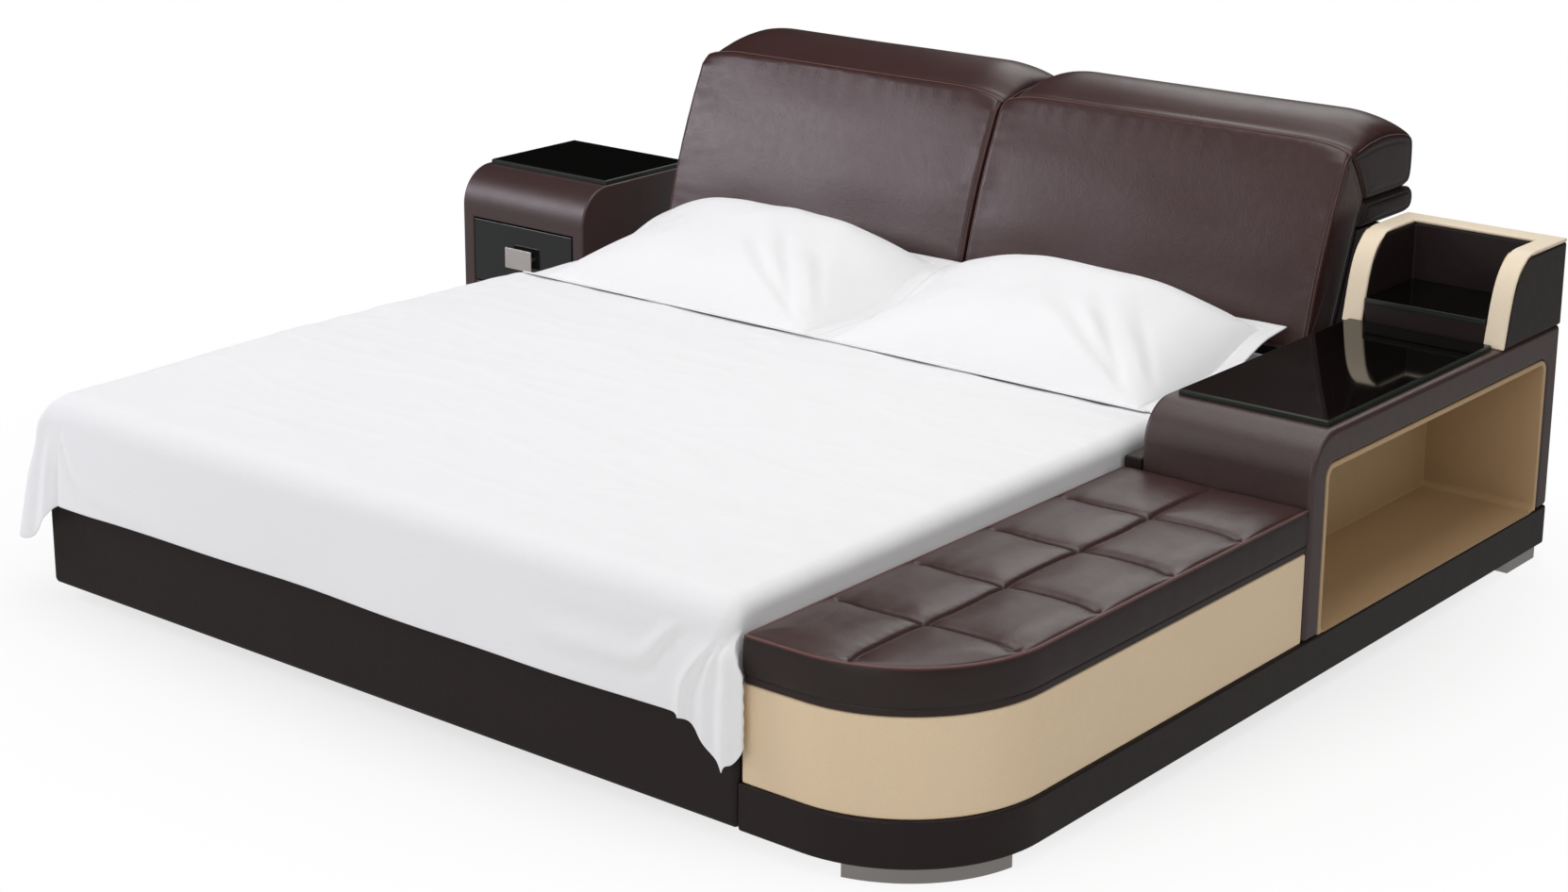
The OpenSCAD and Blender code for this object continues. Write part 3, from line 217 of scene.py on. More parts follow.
class Nodes:
    """The node tree of a material or a world, whose nodes are made by one method."""

    def __init__(self, owner):
        owner.use_nodes = True
        self.tree = owner.node_tree

    def get(self, kind, settings=None, inputs=None, out=0):
        """Adds a node and returns one of its outputs."""
        node = self.tree.nodes.new(kind)
        for key, value in (settings or {}).items():
            setattr(node, key, value)
        for key, value in (inputs or {}).items():
            self.feed(node.inputs[key], value)
        return Value(self, node.outputs[out])

    def feed(self, socket, value):
        """Links a value to a socket, or sets the socket's own number."""
        if isinstance(value, Value):
            self.tree.links.new(value.socket, socket)
        else:
            socket.default_value = value

    def seen_by(self, ray):
        """1 for one kind of ray and 0 for the others."""
        return self.get("ShaderNodeLightPath", out=f"Is {ray} Ray")

    def blend(self, factor, first, second):
        """One closure over another."""
        return self.get("ShaderNodeMixShader", None, {0: factor, 1: first, 2: second})


class Shader(Nodes):
    """A material round one Principled surface."""

    def __init__(self, name, **constants):
        self.material = bpy.data.materials.new(name)
        super().__init__(self.material)
        self.surface = self.tree.nodes["Principled BSDF"]
        self.output = self.tree.nodes["Material Output"]
        self.paint(**constants)

    def where(self):
        return self.get("ShaderNodeTexCoord", out="Object")

    def stretched(self, scale):
        return self.get("ShaderNodeMapping", None, {0: self.where(), "Scale": scale})

    def noise(self, scale, detail=2.0, vector=None, rough=0.5):
        return self.get("ShaderNodeTexNoise", None, {
            "Vector": vector or self.where(), "Scale": scale, "Detail": detail, "Roughness": rough})

    def cells(self, scale):
        return self.get("ShaderNodeTexVoronoi", {"feature": "SMOOTH_F1"},
                        {"Vector": self.where(), "Scale": scale}, out="Distance")

    def bands(self, direction, **inputs):
        return self.get("ShaderNodeTexWave", {"wave_type": "BANDS", "bands_direction": direction},
                        {"Vector": self.where(), **inputs}, out=1)

    def step(self, value, low, high):
        return self.get("ShaderNodeMapRange", {"interpolation_type": "SMOOTHSTEP"},
                        {0: value, 1: low, 2: high})

    def tint(self, factor, *colors):
        a, b = ((*c, 1.0) if isinstance(c, tuple) else c for c in colors)
        return self.get("ShaderNodeMix", {"data_type": "RGBA"}, {0: factor, 6: a, 7: b}, out=2)

    def bump(self, height, distance, strength):
        self.paint(Normal=self.get("ShaderNodeBump", None, {
            "Height": height, "Distance": distance, "Strength": strength}))

    def paint(self, **values):
        """Feeds the surface's sockets by name."""
        for key, value in values.items():
            self.feed(self.surface.inputs[key.replace("_", " ")], value)
        return self.material


def shade(color, amount):
    """A colour made darker or lighter."""
    return tuple(min(1.0, c * amount) for c in color)


def leather(name, color, roughness, contrast=0.18, shine=0.5):
    """Smooth cow leather: fine pebbled grain, pores, and slow changes of tone."""
    s = Shader(name, Specular_IOR_Level=shine)
    mottle = s.noise(7.0, 4.0)
    cloud = s.noise(38.0, 3.0)
    grain = s.cells(420.0)
    pores = s.noise(1500.0, 2.0)
    crease = abs(s.noise(70.0, 3.0, s.stretched((1.0, 1.0, 0.6))) - 0.5)
    tone = mottle * 0.6 + cloud * 0.4
    s.bump(grain * 0.55 + pores * 0.2 + crease * 0.8 + cloud * 0.8, 0.0011, 0.34)
    body = s.tint(tone, shade(color, 1 - contrast), shade(color, 1 + contrast))
    return s.paint(Base_Color=s.tint(grain * 0.5, body, shade(color, 0.82)),
                   Roughness=roughness - 0.06 + grain * 0.10 + cloud * 0.08)


def cotton(name, color):
    """Percale: a fine plain weave over faint creases."""
    s = Shader(name, Specular_IOR_Level=0.25, Sheen_Weight=0.12, Sheen_Roughness=0.5)
    warp, weft = (s.bands(way, Scale=260.0, Distortion=0.6) for way in "XY")
    slub = s.noise(160.0, 2.0, s.stretched((1.0, 0.15, 1.0)))
    crease = s.noise(9.0, 4.0, s.stretched((1.0, 0.7, 1.0)), 0.6)
    s.bump(warp * 0.12 + weft * 0.12 + slub * 0.15 + crease * 1.6, 0.0022, 0.35)
    return s.paint(Base_Color=s.tint(slub * 0.6, color, shade(color, 0.965)),
                   Roughness=0.82 + slub * 0.1)


def dark_glass(name):
    """Back-painted glass: black face, faintly green at its ground edges."""
    s = Shader(name, IOR=1.32)
    face = s.get("ShaderNodeNewGeometry", out="Normal")
    up = s.get("ShaderNodeSeparateXYZ", None, {0: face}, out=2)
    edge = 1.0 - s.step(abs(up), 0.86, 0.99)
    smear = s.noise(5.0, 3.0)
    color = s.tint(edge, (0.0022, 0.0020, 0.0018), (0.026, 0.031, 0.026))
    return s.paint(Base_Color=color, Roughness=0.03 + smear * 0.03 + edge * 0.1)


def gloss_front(name):
    """Lacquered black drawer front."""
    s = Shader(name, IOR=1.5, Coat_Roughness=0.03)
    wave = s.noise(6.0, 2.0)
    s.bump(wave, 0.0006, 0.3)
    return s.paint(Base_Color=s.tint(wave, (0.006, 0.007, 0.0065), (0.010, 0.012, 0.011)),
                   Roughness=0.06 + wave * 0.05, Coat_Weight=0.5)


def brushed(name, color, roughness=0.30):
    """Satin metal, brushed along its length and faintly stained."""
    s = Shader(name, Metallic=1.0)
    lines = s.noise(900.0, 3.0, s.stretched((0.02, 1.0, 1.0)))
    stain = s.noise(18.0, 3.0)
    s.bump(lines, 0.0002, 0.5)
    return s.paint(Base_Color=s.tint(stain, shade(color, 0.86), color),
                   Roughness=roughness + lines * 0.16 + stain * 0.08)


def planks(name, color):
    """Planed pale timber with straight grain along its length."""
    s = Shader(name, Specular_IOR_Level=0.4)
    rings = s.bands("Y", Vector=s.stretched((0.5, 1.0, 1.0)), Scale=22.0, Distortion=3.5, Detail=3.0)
    fibre = s.noise(320.0, 2.0, s.stretched((0.03, 1.0, 1.0)))
    s.bump(fibre + rings * 0.5, 0.0005, 0.4)
    return s.paint(Base_Color=s.tint(rings * 0.5 + fibre * 0.4, color, shade(color, 0.66)),
                   Roughness=0.5 + fibre * 0.15)


def dull(name, color, roughness):
    """Moulded rubber or powder coat: fine speckled skin."""
    s = Shader(name)
    speck = s.noise(900.0, 2.0)
    s.bump(speck, 0.0003, 0.5)
    return s.paint(Base_Color=s.tint(speck, shade(color, 0.8), shade(color, 1.3)),
                   Roughness=roughness - 0.05 + speck * 0.12)


LOOKS = {}


def looks():
    """The bed's materials, made once."""
    if not LOOKS:
        f = bpy.context.scene.bed_finish
        LOOKS.update(
            dark=leather("dark_leather", tuple(f.dark), f.gloss, 0.18, 0.62),
            case=leather("case_leather", tuple(f.dark), f.gloss + 0.10, 0.14, 1.0),
            # panel: the deep leather 1.45 times lighter, still darker than the dark leather, painted shade on
            # the sides of the headrests and the seat
            panel=leather("side_leather_painted_shade", shade(f.deep, 1.45), f.gloss + 0.06, 0.18, 0.4),
            # deep: painted shade, the dark leather made darker for the low and recessed pieces
            deep=leather("deep_leather_painted_shade", tuple(f.deep), f.gloss + 0.10, 0.18, 0.32),
            cream=leather("cream_leather", tuple(f.cream), 0.46, 0.05),
            trim=leather("pale_cream_leather", (0.84, 0.71, 0.53), 0.46, 0.04),
            # lining: a darker, warmer copy of the cream leather, painted shade inside the cubby's recess
            lining=leather("cubby_cream_painted_shade", (0.50, 0.34, 0.185), 0.50, 0.05),
            cotton=cotton("white_cotton", tuple(f.cotton)),
            glass=dark_glass("black_glass"),
            front=gloss_front("black_lacquer"),
            steel=brushed("satin_steel", tuple(f.steel)),
            # bright: the satin steel made 1.6 times lighter, painted brightness standing in for the reflections
            # on the drawer handles
            bright=brushed("bright_steel", shade(f.steel, 1.6), 0.36),
            # seam: the dark leather made 3.4 times lighter, a painted highlight for the light that the rolled
            # seams and piping catch
            seam=leather("seam_painted_highlight", tuple(c * 3.4 for c in f.dark), f.gloss),
            thread=dull("dark_thread", (0.052, 0.038, 0.036), 0.6),
            timber=planks("pale_timber", tuple(f.timber)),
            rubber=dull("black_rubber", (0.014, 0.014, 0.014), 0.6),
            coat=dull("dark_powder_coat", (0.03, 0.03, 0.032), 0.45),
        )
    return LOOKS


# ------------------ making meshes


@contextmanager
def edited(mesh):
    """Opens a mesh for bmesh and writes it back."""
    bm = bmesh.new()
    bm.from_mesh(mesh)
    yield bm
    bm.to_mesh(mesh)
    bm.free()


def mesh_of(name, shape):
    """A mesh in the frame from (points in millimetres, faces)."""
    points, faces = shape
    mesh = bpy.data.meshes.new(name)
    mesh.from_pydata([tuple(p) for p in place(points)], [], [tuple(int(i) for i in f) for f in faces])
    return mesh


def piece(name, shape, look, body, slot, *replaces):
    """A new object from (points in millimetres, faces), riding on a body."""
    mesh = mesh_of(name, shape)
    mesh.validate()
    with edited(mesh) as bm:
        bmesh.ops.remove_doubles(bm, verts=bm.verts, dist=WELD)
        bmesh.ops.recalc_face_normals(bm, faces=bm.faces)
    return adopt(name, mesh, look, body, replaces)


def adopt(name, mesh, look, body, replaces):
    """Makes a mesh an object of the bed, with its look, body and material slot."""
    obj = bpy.data.objects.new(name, mesh)
    bpy.context.scene.collection.objects.link(obj)
    mesh.materials.clear()
    mesh.materials.append(looks()[look])
    mesh.shade_smooth()
    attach(obj, body)
    if replaces:
        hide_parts(*replaces)
    return obj


def shade_side_faces(obj, chosen):
    """Gives the chosen faces of a piece, its sides, a darker copy of the leather: painted shade on those faces.
    """
    obj.data.materials.append(looks()["panel"])
    last = len(obj.data.materials) - 1
    for face in obj.data.polygons:
        if chosen(face):
            face.material_index = last


def grid_faces(rows, cols, wrap=False, start=0):
    """The quads of a grid of points, closed round its columns if it wraps."""
    last = cols if wrap else cols - 1
    return [(start + r * cols + c, start + r * cols + (c + 1) % cols,
             start + (r + 1) * cols + (c + 1) % cols, start + (r + 1) * cols + c)
            for r in range(rows - 1) for c in range(last)]


def grid_border(rows, cols):
    """The border points of a grid, in order round it."""
    return ([c for c in range(cols)] + [r * cols + cols - 1 for r in range(1, rows)]
            + [(rows - 1) * cols + c for c in range(cols - 2, -1, -1)]
            + [r * cols for r in range(rows - 2, 0, -1)])


def belt(first, second):
    """Quads between two rings of point numbers."""
    return list(zip(first, first[1:] + first[:1], second[1:] + second[:1], second))


def cap(ring, tip):
    """Triangles from a ring of point numbers to one point."""
    return [(a, b, tip) for a, b in zip(ring, ring[1:] + ring[:1])]


def rounded(points, count):
    """A closed outline with its corners cut thrice, so that it is smooth, and spaced evenly."""
    p = np.asarray(points, float)
    for _ in range(3):
        q = np.roll(p, -1, axis=0)
        p = np.stack([p * 0.75 + q * 0.25, p * 0.25 + q * 0.75], 1).reshape(-1, p.shape[1])
    return resample(p, count)


def resample(loop, count):
    """A closed outline with evenly spaced points."""
    closed = np.vstack([loop, loop[:1]])
    step = np.r_[0, np.cumsum(np.linalg.norm(np.diff(closed, axis=0), axis=1))]
    at = np.linspace(0, step[-1], count, endpoint=False)
    return np.stack([np.interp(at, step, closed[:, k]) for k in range(closed.shape[1])], 1)


def outward(loop):
    """Unit normals of a closed outline in its own plane, pointing out."""
    d = np.roll(loop, -1, axis=0) - np.roll(loop, 1, axis=0)
    n = np.stack([d[:, 1], -d[:, 0]], 1)
    n /= np.linalg.norm(n, axis=1)[:, None]
    area = np.sum(loop[:, 0] * np.roll(loop[:, 1], -1) - loop[:, 1] * np.roll(loop[:, 0], -1))
    return n if area > 0 else -n


def edge_inset(s, radius):
    """How far a pad's skin lies in from its outline, s from its end, with a sewn groove."""
    arc = radius - np.sqrt(np.maximum(0, radius ** 2 - np.maximum(0, radius - s) ** 2))
    return arc + GROOVE * hump(s, SEAM_IN, GROOVE_WIDE)


def pad_stations(x0, x1):
    """Where a pad's rings lie along it, closer together at its end seams."""
    near = np.array([0, 0.8, 1.8, 2.8, 3.6, 4.2, 4.8, 5.6, 6.8, 8.5, 11, 14, 18, 24, 32, 42, 55, 70])
    near = near[near < (x1 - x0) / 2]
    middle = np.linspace(near[-1], x1 - x0 - near[-1], max(6, int((x1 - x0) / 16)))[1:-1]
    return x0 + np.concatenate([near, middle, (x1 - x0) - near[::-1]])


def lofted_pad(x0, x1, outline, radius, side_puff, shape=lambda ring, s: ring):
    """Points and faces of a pad along X: its ends are flat panels sewn on at a rounded edge."""
    rings = [section(outline, shape, x, min(x - x0, x1 - x), 0.0, radius) for x in pad_stations(x0, x1)]
    count = len(outline)
    faces = grid_faces(len(rings), count, wrap=True)
    points = np.vstack(rings)
    for base, way, ring in ((0, -1, rings[0]), (len(points) - count, 1, rings[-1])):
        centre = ring.mean(axis=0)
        previous = list(range(base, base + count))
        for t in (0.97, 0.9, 0.75, 0.5, 0.25):
            inner = centre + (ring - centre) * t
            inner[:, 0] += way * side_puff * (1 - t ** 3) - way * (1.2 if t == 0.97 else 0)
            current = list(range(len(points), len(points) + count))
            points = np.vstack([points, inner])
            faces += belt(previous, current)
            previous = current
        faces += cap(previous, len(points))
        points = np.vstack([points, centre + np.array((way * side_puff, 0, 0))])
    return points, faces


def section(outline, shape, x, s, lift=0.0, radius=PAD_RADIUS):
    """A pad's outline at x, s from its end, drawn in there as its skin is."""
    ring = outline - outward(outline) * (edge_inset(s, radius) - lift)
    return shape(np.column_stack([np.full(len(ring), x), ring]), s)


def tube(path, radius, sides=6):
    """Points and faces of a round cord along a path."""
    way = (np.vstack([path[1:], path[-1:] * 2 - path[-2:-1]])
           - np.vstack([path[:1] * 2 - path[1:2], path[:-1]]))
    way /= np.linalg.norm(way, axis=1)[:, None]
    side = np.cross(way, (0.31, 0.17, 0.93))
    side /= np.linalg.norm(side, axis=1)[:, None]
    up = np.cross(side, way)
    turn = np.linspace(0, 2 * math.pi, sides, endpoint=False)
    rings = path[:, None] + radius * (np.cos(turn)[None, :, None] * side[:, None]
                                      + np.sin(turn)[None, :, None] * up[:, None])
    last = (len(path) - 1) * sides
    ends = [tuple(range(sides))[::-1], tuple(range(last, last + sides))]
    return rings.reshape(-1, 3), grid_faces(len(path), sides, wrap=True) + ends


def merged(parts):
    """Several (points, faces) as one."""
    points, faces = [], []
    start = 0
    for p, f in parts:
        points.append(np.asarray(p))
        faces += [tuple(i + start for i in face) for face in f]
        start += len(p)
    return np.vstack(points), faces


def stitches(path, spacing, length=5.2, thick=0.5):
    """Short thread beads laid end to end along a path, in millimetres."""
    step = np.r_[0, np.cumsum(np.linalg.norm(np.diff(path, axis=0), axis=1))]
    starts = np.arange(spacing / 2, step[-1] - length, spacing)
    parts = []
    for s in starts:
        at = np.linspace(s, s + length, 5)
        bead = np.stack([np.interp(at, step, path[:, k]) for k in range(3)], 1)
        parts.append(tube(bead, thick))
    return merged(parts)


def softened(node, name, look, body, slot, width=0.006, segments=3):
    """A copy of a CAD node with its edges rolled, as leather drawn over a board has them."""
    mesh = NODES[node].data.copy()
    with edited(mesh) as bm:
        bmesh.ops.remove_doubles(bm, verts=bm.verts, dist=1.5 * WELD)
        bmesh.ops.dissolve_limit(bm, angle_limit=FLAT, verts=bm.verts, edges=bm.edges, delimit=set())
        sharp = [e for e in bm.edges if len(e.link_faces) == 2 and e.calc_face_angle(0.0) > SHARP]
        bmesh.ops.bevel(bm, geom=sharp, offset=width, offset_type="OFFSET", segments=segments,
                        profile=0.5, affect="EDGES", clamp_overlap=True)
        bmesh.ops.triangulate(bm, faces=[f for f in bm.faces if len(f.verts) > 4])
    obj = adopt(name, mesh, look, body, (node,))
    obj.modifiers.new("weigh", "WEIGHTED_NORMAL").keep_sharp = True
    apply_modifiers(obj)


def leather_over(look, slot, *rows):
    """Rolled-edge leather over nodes of the bed: each row is a node, a name, edge width and steps."""
    for node, name, *edge in rows:
        softened(node, name + "_leather", look, "bed", slot, *edge)


def apply_modifiers(obj):
    """Bakes a piece's modifiers into its mesh."""
    graph = bpy.context.evaluated_depsgraph_get()
    graph.update()
    made = bpy.data.meshes.new_from_object(obj.evaluated_get(graph), preserve_all_data_layers=True,
                                           depsgraph=graph)
    old = obj.data
    obj.modifiers.clear()
    obj.data = made
    made.name = old.name
    bpy.data.meshes.remove(old)


def dress(node, look):
    """A CAD node that keeps its own shape gets a finish."""
    obj = NODES[node]
    obj.data.materials.clear()
    obj.data.materials.append(looks()[look])


# ------------------ stage


class BED_OT_stage(bpy.types.Operator):
    """Sets up the floor, the room light, the lamps and the camera"""

    bl_idname = "bed.stage"
    bl_label = "Stage"

    def execute(self, context):
        p = context.scene.bed_stage
        floor_mesh = bpy.data.meshes.new("floor")
        corners = [(x * FLOOR_HALF, y * FLOOR_HALF, 0) for x, y in ((-1, -1), (1, -1), (1, 1), (-1, 1))]
        floor_mesh.from_pydata(corners, [], [(0, 1, 2, 3)])
        floor = bpy.data.objects.new("floor", floor_mesh)
        context.scene.collection.objects.link(floor)
        floor.location.z = -0.0005
        floor_mesh.materials.append(self.floor_material())
        self.world(context, p.room, p.mirror)
        self.lamp("key_lamp", (1.7, -5.8, 2.4), (0.4, -0.4, 0.3), 3.4, p.key)
        self.lamp("sheen_lamp", (-4.5, -2.9, 2.7), (-0.7, 0.9, 0.7), 2.4, p.sheen, 1.8, COOL)
        self.lamp("top_lamp", (0.7, 0.0, 4.6), (0, 0, 0), 4.0, p.top)
        self.lamp("back_lamp", (-0.9, 4.6, 4.0), (0.3, -0.6, 0.4), 3.0, p.rim)
        self.lamp("side_lamp", (4.8, -1.2, 3.5), (0.9, 0.0, 0.3), 2.6, p.side)
        self.camera(context, p)
        context.scene.view_settings.view_transform = "Standard"
        return {"FINISHED"}

    def floor_material(self):
        """White paper sweep: it keeps the bed's shadow near the bed and fades to pure white."""
        s = Shader("studio_floor", Base_Color=(0.9, 0.9, 0.9, 1.0), Roughness=0.9, Specular_IOR_Level=0.0)
        s.bump(s.noise(40.0), 0.0002, 0.1)
        x, y = (s.get("ShaderNodeSeparateXYZ", None, {0: s.where()}, out=k) for k in (0, 1))
        far = s.step((x * x * 0.31 + y * y * 0.42) ** 0.5, 0.80, 1.35)
        glow, dim = (s.get("ShaderNodeEmission", None, {"Strength": level})
                     for level in (1.0, FLOOR_MIRRORED))
        paper = s.blend(s.seen_by("Glossy"), Value(s, s.surface.outputs[0]), dim)
        shown = s.seen_by("Camera") * (far * (1 - NEAR_GLOW) + NEAR_GLOW)
        s.feed(s.output.inputs["Surface"], s.blend(shown, paper, glow))
        return s.material

    def world(self, context, strength, mirror):
        """Even light: full white to the camera, softer in reflections."""
        context.scene.world = bpy.data.worlds.new("studio")
        s = Nodes(context.scene.world)
        room = s.tree.nodes["Background"]
        room.inputs["Color"].default_value = (*WHITE, 1.0)
        room.inputs["Strength"].default_value = strength
        shown = Value(s, room.outputs[0])
        for ray, level in (("Glossy", mirror), ("Camera", 1.0)):
            shown = s.blend(s.seen_by(ray), shown, s.get("ShaderNodeBackground", None, {"Strength": level}))
        s.feed(s.tree.nodes["World Output"].inputs["Surface"], shown)

    def lamp(self, name, location, target, size, power, tall=None, color=WHITE):
        """An area lamp that faces its target."""
        light = bpy.data.lights.new(name, "AREA")
        light.shape = "RECTANGLE"
        light.size, light.size_y = size, tall or size
        light.energy = power
        light.color = color
        lamp = bpy.data.objects.new(name, light)
        lamp.location = location
        lamp.rotation_euler = (Vector(location) - Vector(target)).to_track_quat("Z", "Y").to_euler()
        bpy.context.scene.collection.objects.link(lamp)

    def camera(self, context, p):
        """The camera at its solved place, turned by azimuth, elevation and roll."""
        a, e, r = p.azimuth, p.elevation, p.roll
        back = Vector((math.sin(a) * math.cos(e), -math.cos(a) * math.cos(e), math.sin(e)))
        right = Vector((math.cos(a), math.sin(a), 0.0))
        up = back.cross(right)
        x_axis = right * math.cos(r) + up * math.sin(r)
        y_axis = up * math.cos(r) - right * math.sin(r)
        data = bpy.data.cameras.new("camera")
        data.sensor_width, data.clip_end = 36.0, 100.0
        data.lens, data.shift_y = p.lens, p.lift
        camera = bpy.data.objects.new("camera", data)
        turn = Matrix((x_axis, y_axis, back)).transposed().to_4x4()
        camera.matrix_world = Matrix.Translation(place([CAMERA_SPOT])[0]) @ turn
        context.scene.collection.objects.link(camera)
        context.scene.camera = camera


# ------------------ headboard


def hinge():
    """A point on the headrests' axis."""
    return joint_point("headrest_left_hinge")


def pad_outline():
    """A back pad's (y, z) outline, from its foot up the face and down the back."""
    _, hy, hz = hinge()
    z0 = span("back_pad_left")[0][2]
    y0 = hy - 49 - PAD_LEAN * (hz - z0)

    def face(z):
        return y0 + PAD_LEAN * (z - z0)

    rise = np.linspace(z0 + 26, hz - 16, 9)
    bulge = 13 * np.sin(np.linspace(0, math.pi, 9))
    front = [(face(z) - b, z) for z, b in zip(rise, bulge)]
    foot = [(face(z0) + 30, z0), (face(z0) + 10, z0 + 1.5), (face(z0) + 2, z0 + 9)]
    crest = [(face(hz) + 3, hz + 2), (face(hz) + 9, hz + 14), (hy - 34, hz + 21), (hy - 27, hz + 21.5)]
    hollow = [(hy - 23.4, hz + 17), (hy - 22.6, hz), (hy - 17.5, hz - 14), (hy - 2, hz - 34),
              (hy + 20, hz - 66), (hy + 44, hz - 108), (hy + 46, hz - 124), (hy + 42, hz - 134)]
    back = [(face(734) + PAD_THICK, 734), (face(z0 + 14) + PAD_THICK, z0 + 14),
            (face(z0) + PAD_THICK - 8, z0 + 2), (face(z0) + PAD_THICK - 22, z0)]
    return foot + front + crest + hollow + back


def rest_outline():
    """A headrest's (y, z) outline, its nose round about the hinge axis."""
    _, hy, hz = hinge()
    (_, _, low), (_, y1, _) = span("headrest_left")
    nose = [(hy + NOSE_RADIUS * math.cos(math.radians(a)), hz + NOSE_RADIUS * math.sin(math.radians(a)))
            for a in range(215, 109, -15)]
    crown = [(hy + 8, hz + 24), (hy + 30, hz + 37), (hy + 62, hz + 51), (hy + 100, hz + 61),
             (hy + 140, hz + 65.5), (hy + 182, hz + 60), (hy + 216, hz + 50)]
    rear = [(y1 - 36, hz + 36), (y1 - 12, hz + 14), (y1 - 1, hz - 18), (y1 + 1, hz - 60),
            (y1 - 1, low + 30), (y1 - 10, low + 9), (y1 - 32, low + 1), (y1 - 90, low)]
    under = [(hy + 90, low), (hy + 62, low + 0.5), (hy + 52, low + 2), (hy + 48, low + 8), (hy + 46, low + 18),
             (hy + 22, hz - 62), (hy + 2, hz - 32), (hy - 12, hz - 18)]
    return nose + crown + rear + under


def end_drop(z, s):
    """Heights near a pad's end, where its top comes down in a quarter ellipse."""
    foot = hinge()[2] - 21.0
    k = 0.25 + 0.75 * math.sqrt(1 - (1 - min(1.0, s / 140.0)) ** 2)
    return np.where(z > foot, foot + (z - foot) * k, z)


def stuffed(side, on_face):
    """How a cushion's skin departs from its outline: slow lumps, and gathers next to the seams."""
    _, hy, hz = hinge()

    def shape(full, s):
        x, y, z = full.T.copy()
        slow = field(x * 0.0035, (z + y) * 0.006, side * 7.0)
        quick = field(x * 0.02, (z + y) * 0.03, side * 3.0)
        wave = slow * 3.0 * smooth(s / 60.0) + quick * 1.6 * math.exp(-s / 45.0) * smooth(s / 8.0)
        full[:, 2] = end_drop(z, s)
        if on_face:
            gathers = np.exp(-np.maximum(0, hz + 10 - z) / 26.0) * np.sin(x * 0.11 + 2.5 * np.sin(x * 0.017))
            full[:, 1] -= np.where(y < hy - 40, wave + 0.9 * gathers * smooth(s / 40.0), 0)
        else:
            full[:, 2] += np.where(z > hz + 24, wave, 0)
        return full

    return shape


def halves():
    """Number, name and the two ends along X of each half of the headboard."""
    for side, name in ((1, "left"), (2, "right")):
        low, high = span("back_pad_" + name)
        yield side, name, low[0], high[0]


def edge_run(outline, shape, x0, x1, first, top):
    """A line up one end seam, along the top at outline point `top`, and down the other end."""
    up = section(outline, shape, x0 + SEAM_IN, SEAM_IN, 0.5)[first:top + 1]
    down = section(outline, shape, x1 - SEAM_IN, SEAM_IN, 0.5)[first:top + 1][::-1]
    xs = pad_stations(x0, x1)[6:-6]
    along = np.array([section(outline, shape, x, min(x - x0, x1 - x), 0.5)[top] for x in xs])
    return np.vstack([up, along, down])


class BED_OT_back_pads(bpy.types.Operator):
    """Builds the two leaning back pads with their sewn-on side panels"""

    bl_idname = "bed.back_pads"
    bl_label = "Back pads"

    def execute(self, context):
        _, hy, hz = hinge()
        outline = rounded(pad_outline(), 168)
        top = int(np.argmin(np.hypot(outline[:, 0] - (hy - 35), outline[:, 1] - (hz + 21))))
        front = [i for i in range(len(outline)) if outline[i, 0] < hy - 30]
        first = min(i for i in front if all(k in front for k in range(i, top + 1)))
        for side, name, x0, x1 in halves():
            shape = stuffed(side, True)
            pad = piece("back_pad_leather_" + name,
                        lofted_pad(x0, x1, outline, PAD_RADIUS, PAD_PUFF, shape),
                        "dark", "bed", "leather", "back_pad_" + name)
            run = edge_run(outline, shape, x0, x1, first, top)
            # The seam cord wears the lightened seam leather: a painted highlight along the pad's edges.
            piece("pad_seam_" + name, tube(run, SEAM_RADIUS), "seam", "bed", "leather")
            rows = [section(outline, shape, x, STITCHES_IN)[first:top]
                    for x in (x0 + STITCHES_IN, x1 - STITCHES_IN)]
            threads = merged([stitches(row, context.scene.bed_sizes.stitch * 1000) for row in rows])
            piece("pad_stitches_" + name, threads, "thread", "bed", "leather")
        return {"FINISHED"}


def ratchet_space(x):
    """The pocket in a headrest round one ratchet, as prisms across the bed at x."""
    _, hy, hz = hinge()
    low = span("headrest_left")[0][2] - hz
    arm = math.atan2(low + 14, 61.0)
    reach = math.hypot(61.0, low + 14) + 40
    side = np.array((-math.sin(arm), math.cos(arm)))
    way = np.array((math.cos(arm), math.sin(arm)))
    fan = [(0.0, 0.0)] + [(reach * math.cos(arm - t), reach * math.sin(arm - t))
                          for t in np.linspace(0, math.radians(105), 12)]
    bar = [side * -14, way * reach + side * -14, way * reach + side * 18, side * 18]
    disc = [(18.4 * math.cos(t), 18.4 * math.sin(t)) for t in np.linspace(0, 2 * math.pi, 40, endpoint=False)]
    foot = [(39.0, low - 3), (141.0, low - 3), (141.0, low + 38), (39.0, low + 38)]
    parts = []
    for shape in (fan, bar, disc, foot):
        loop = np.array(shape) + (hy, hz)
        n = len(loop)
        points = np.vstack([np.column_stack([np.full(n, x + half), loop]) for half in (-8.0, 8.0)])
        near, far = list(range(n)), list(range(n, 2 * n))
        parts.append((points, [near, far[::-1]] + belt(near, far)))
    return parts


def carve(obj, parts):
    """Cuts prisms out of a piece."""
    for part in parts:
        mesh = mesh_of("cutter", part)
        with edited(mesh) as bm:
            bmesh.ops.recalc_face_normals(bm, faces=bm.faces)
            bmesh.ops.triangulate(bm, faces=bm.faces)
        cutter = bpy.data.objects.new("cutter", mesh)
        bpy.context.scene.collection.objects.link(cutter)
        cut = obj.modifiers.new("pocket", "BOOLEAN")
        cut.operation, cut.object, cut.solver = "DIFFERENCE", cutter, "MANIFOLD"
        apply_modifiers(obj)
        bpy.data.objects.remove(cutter)
        bpy.data.meshes.remove(mesh)


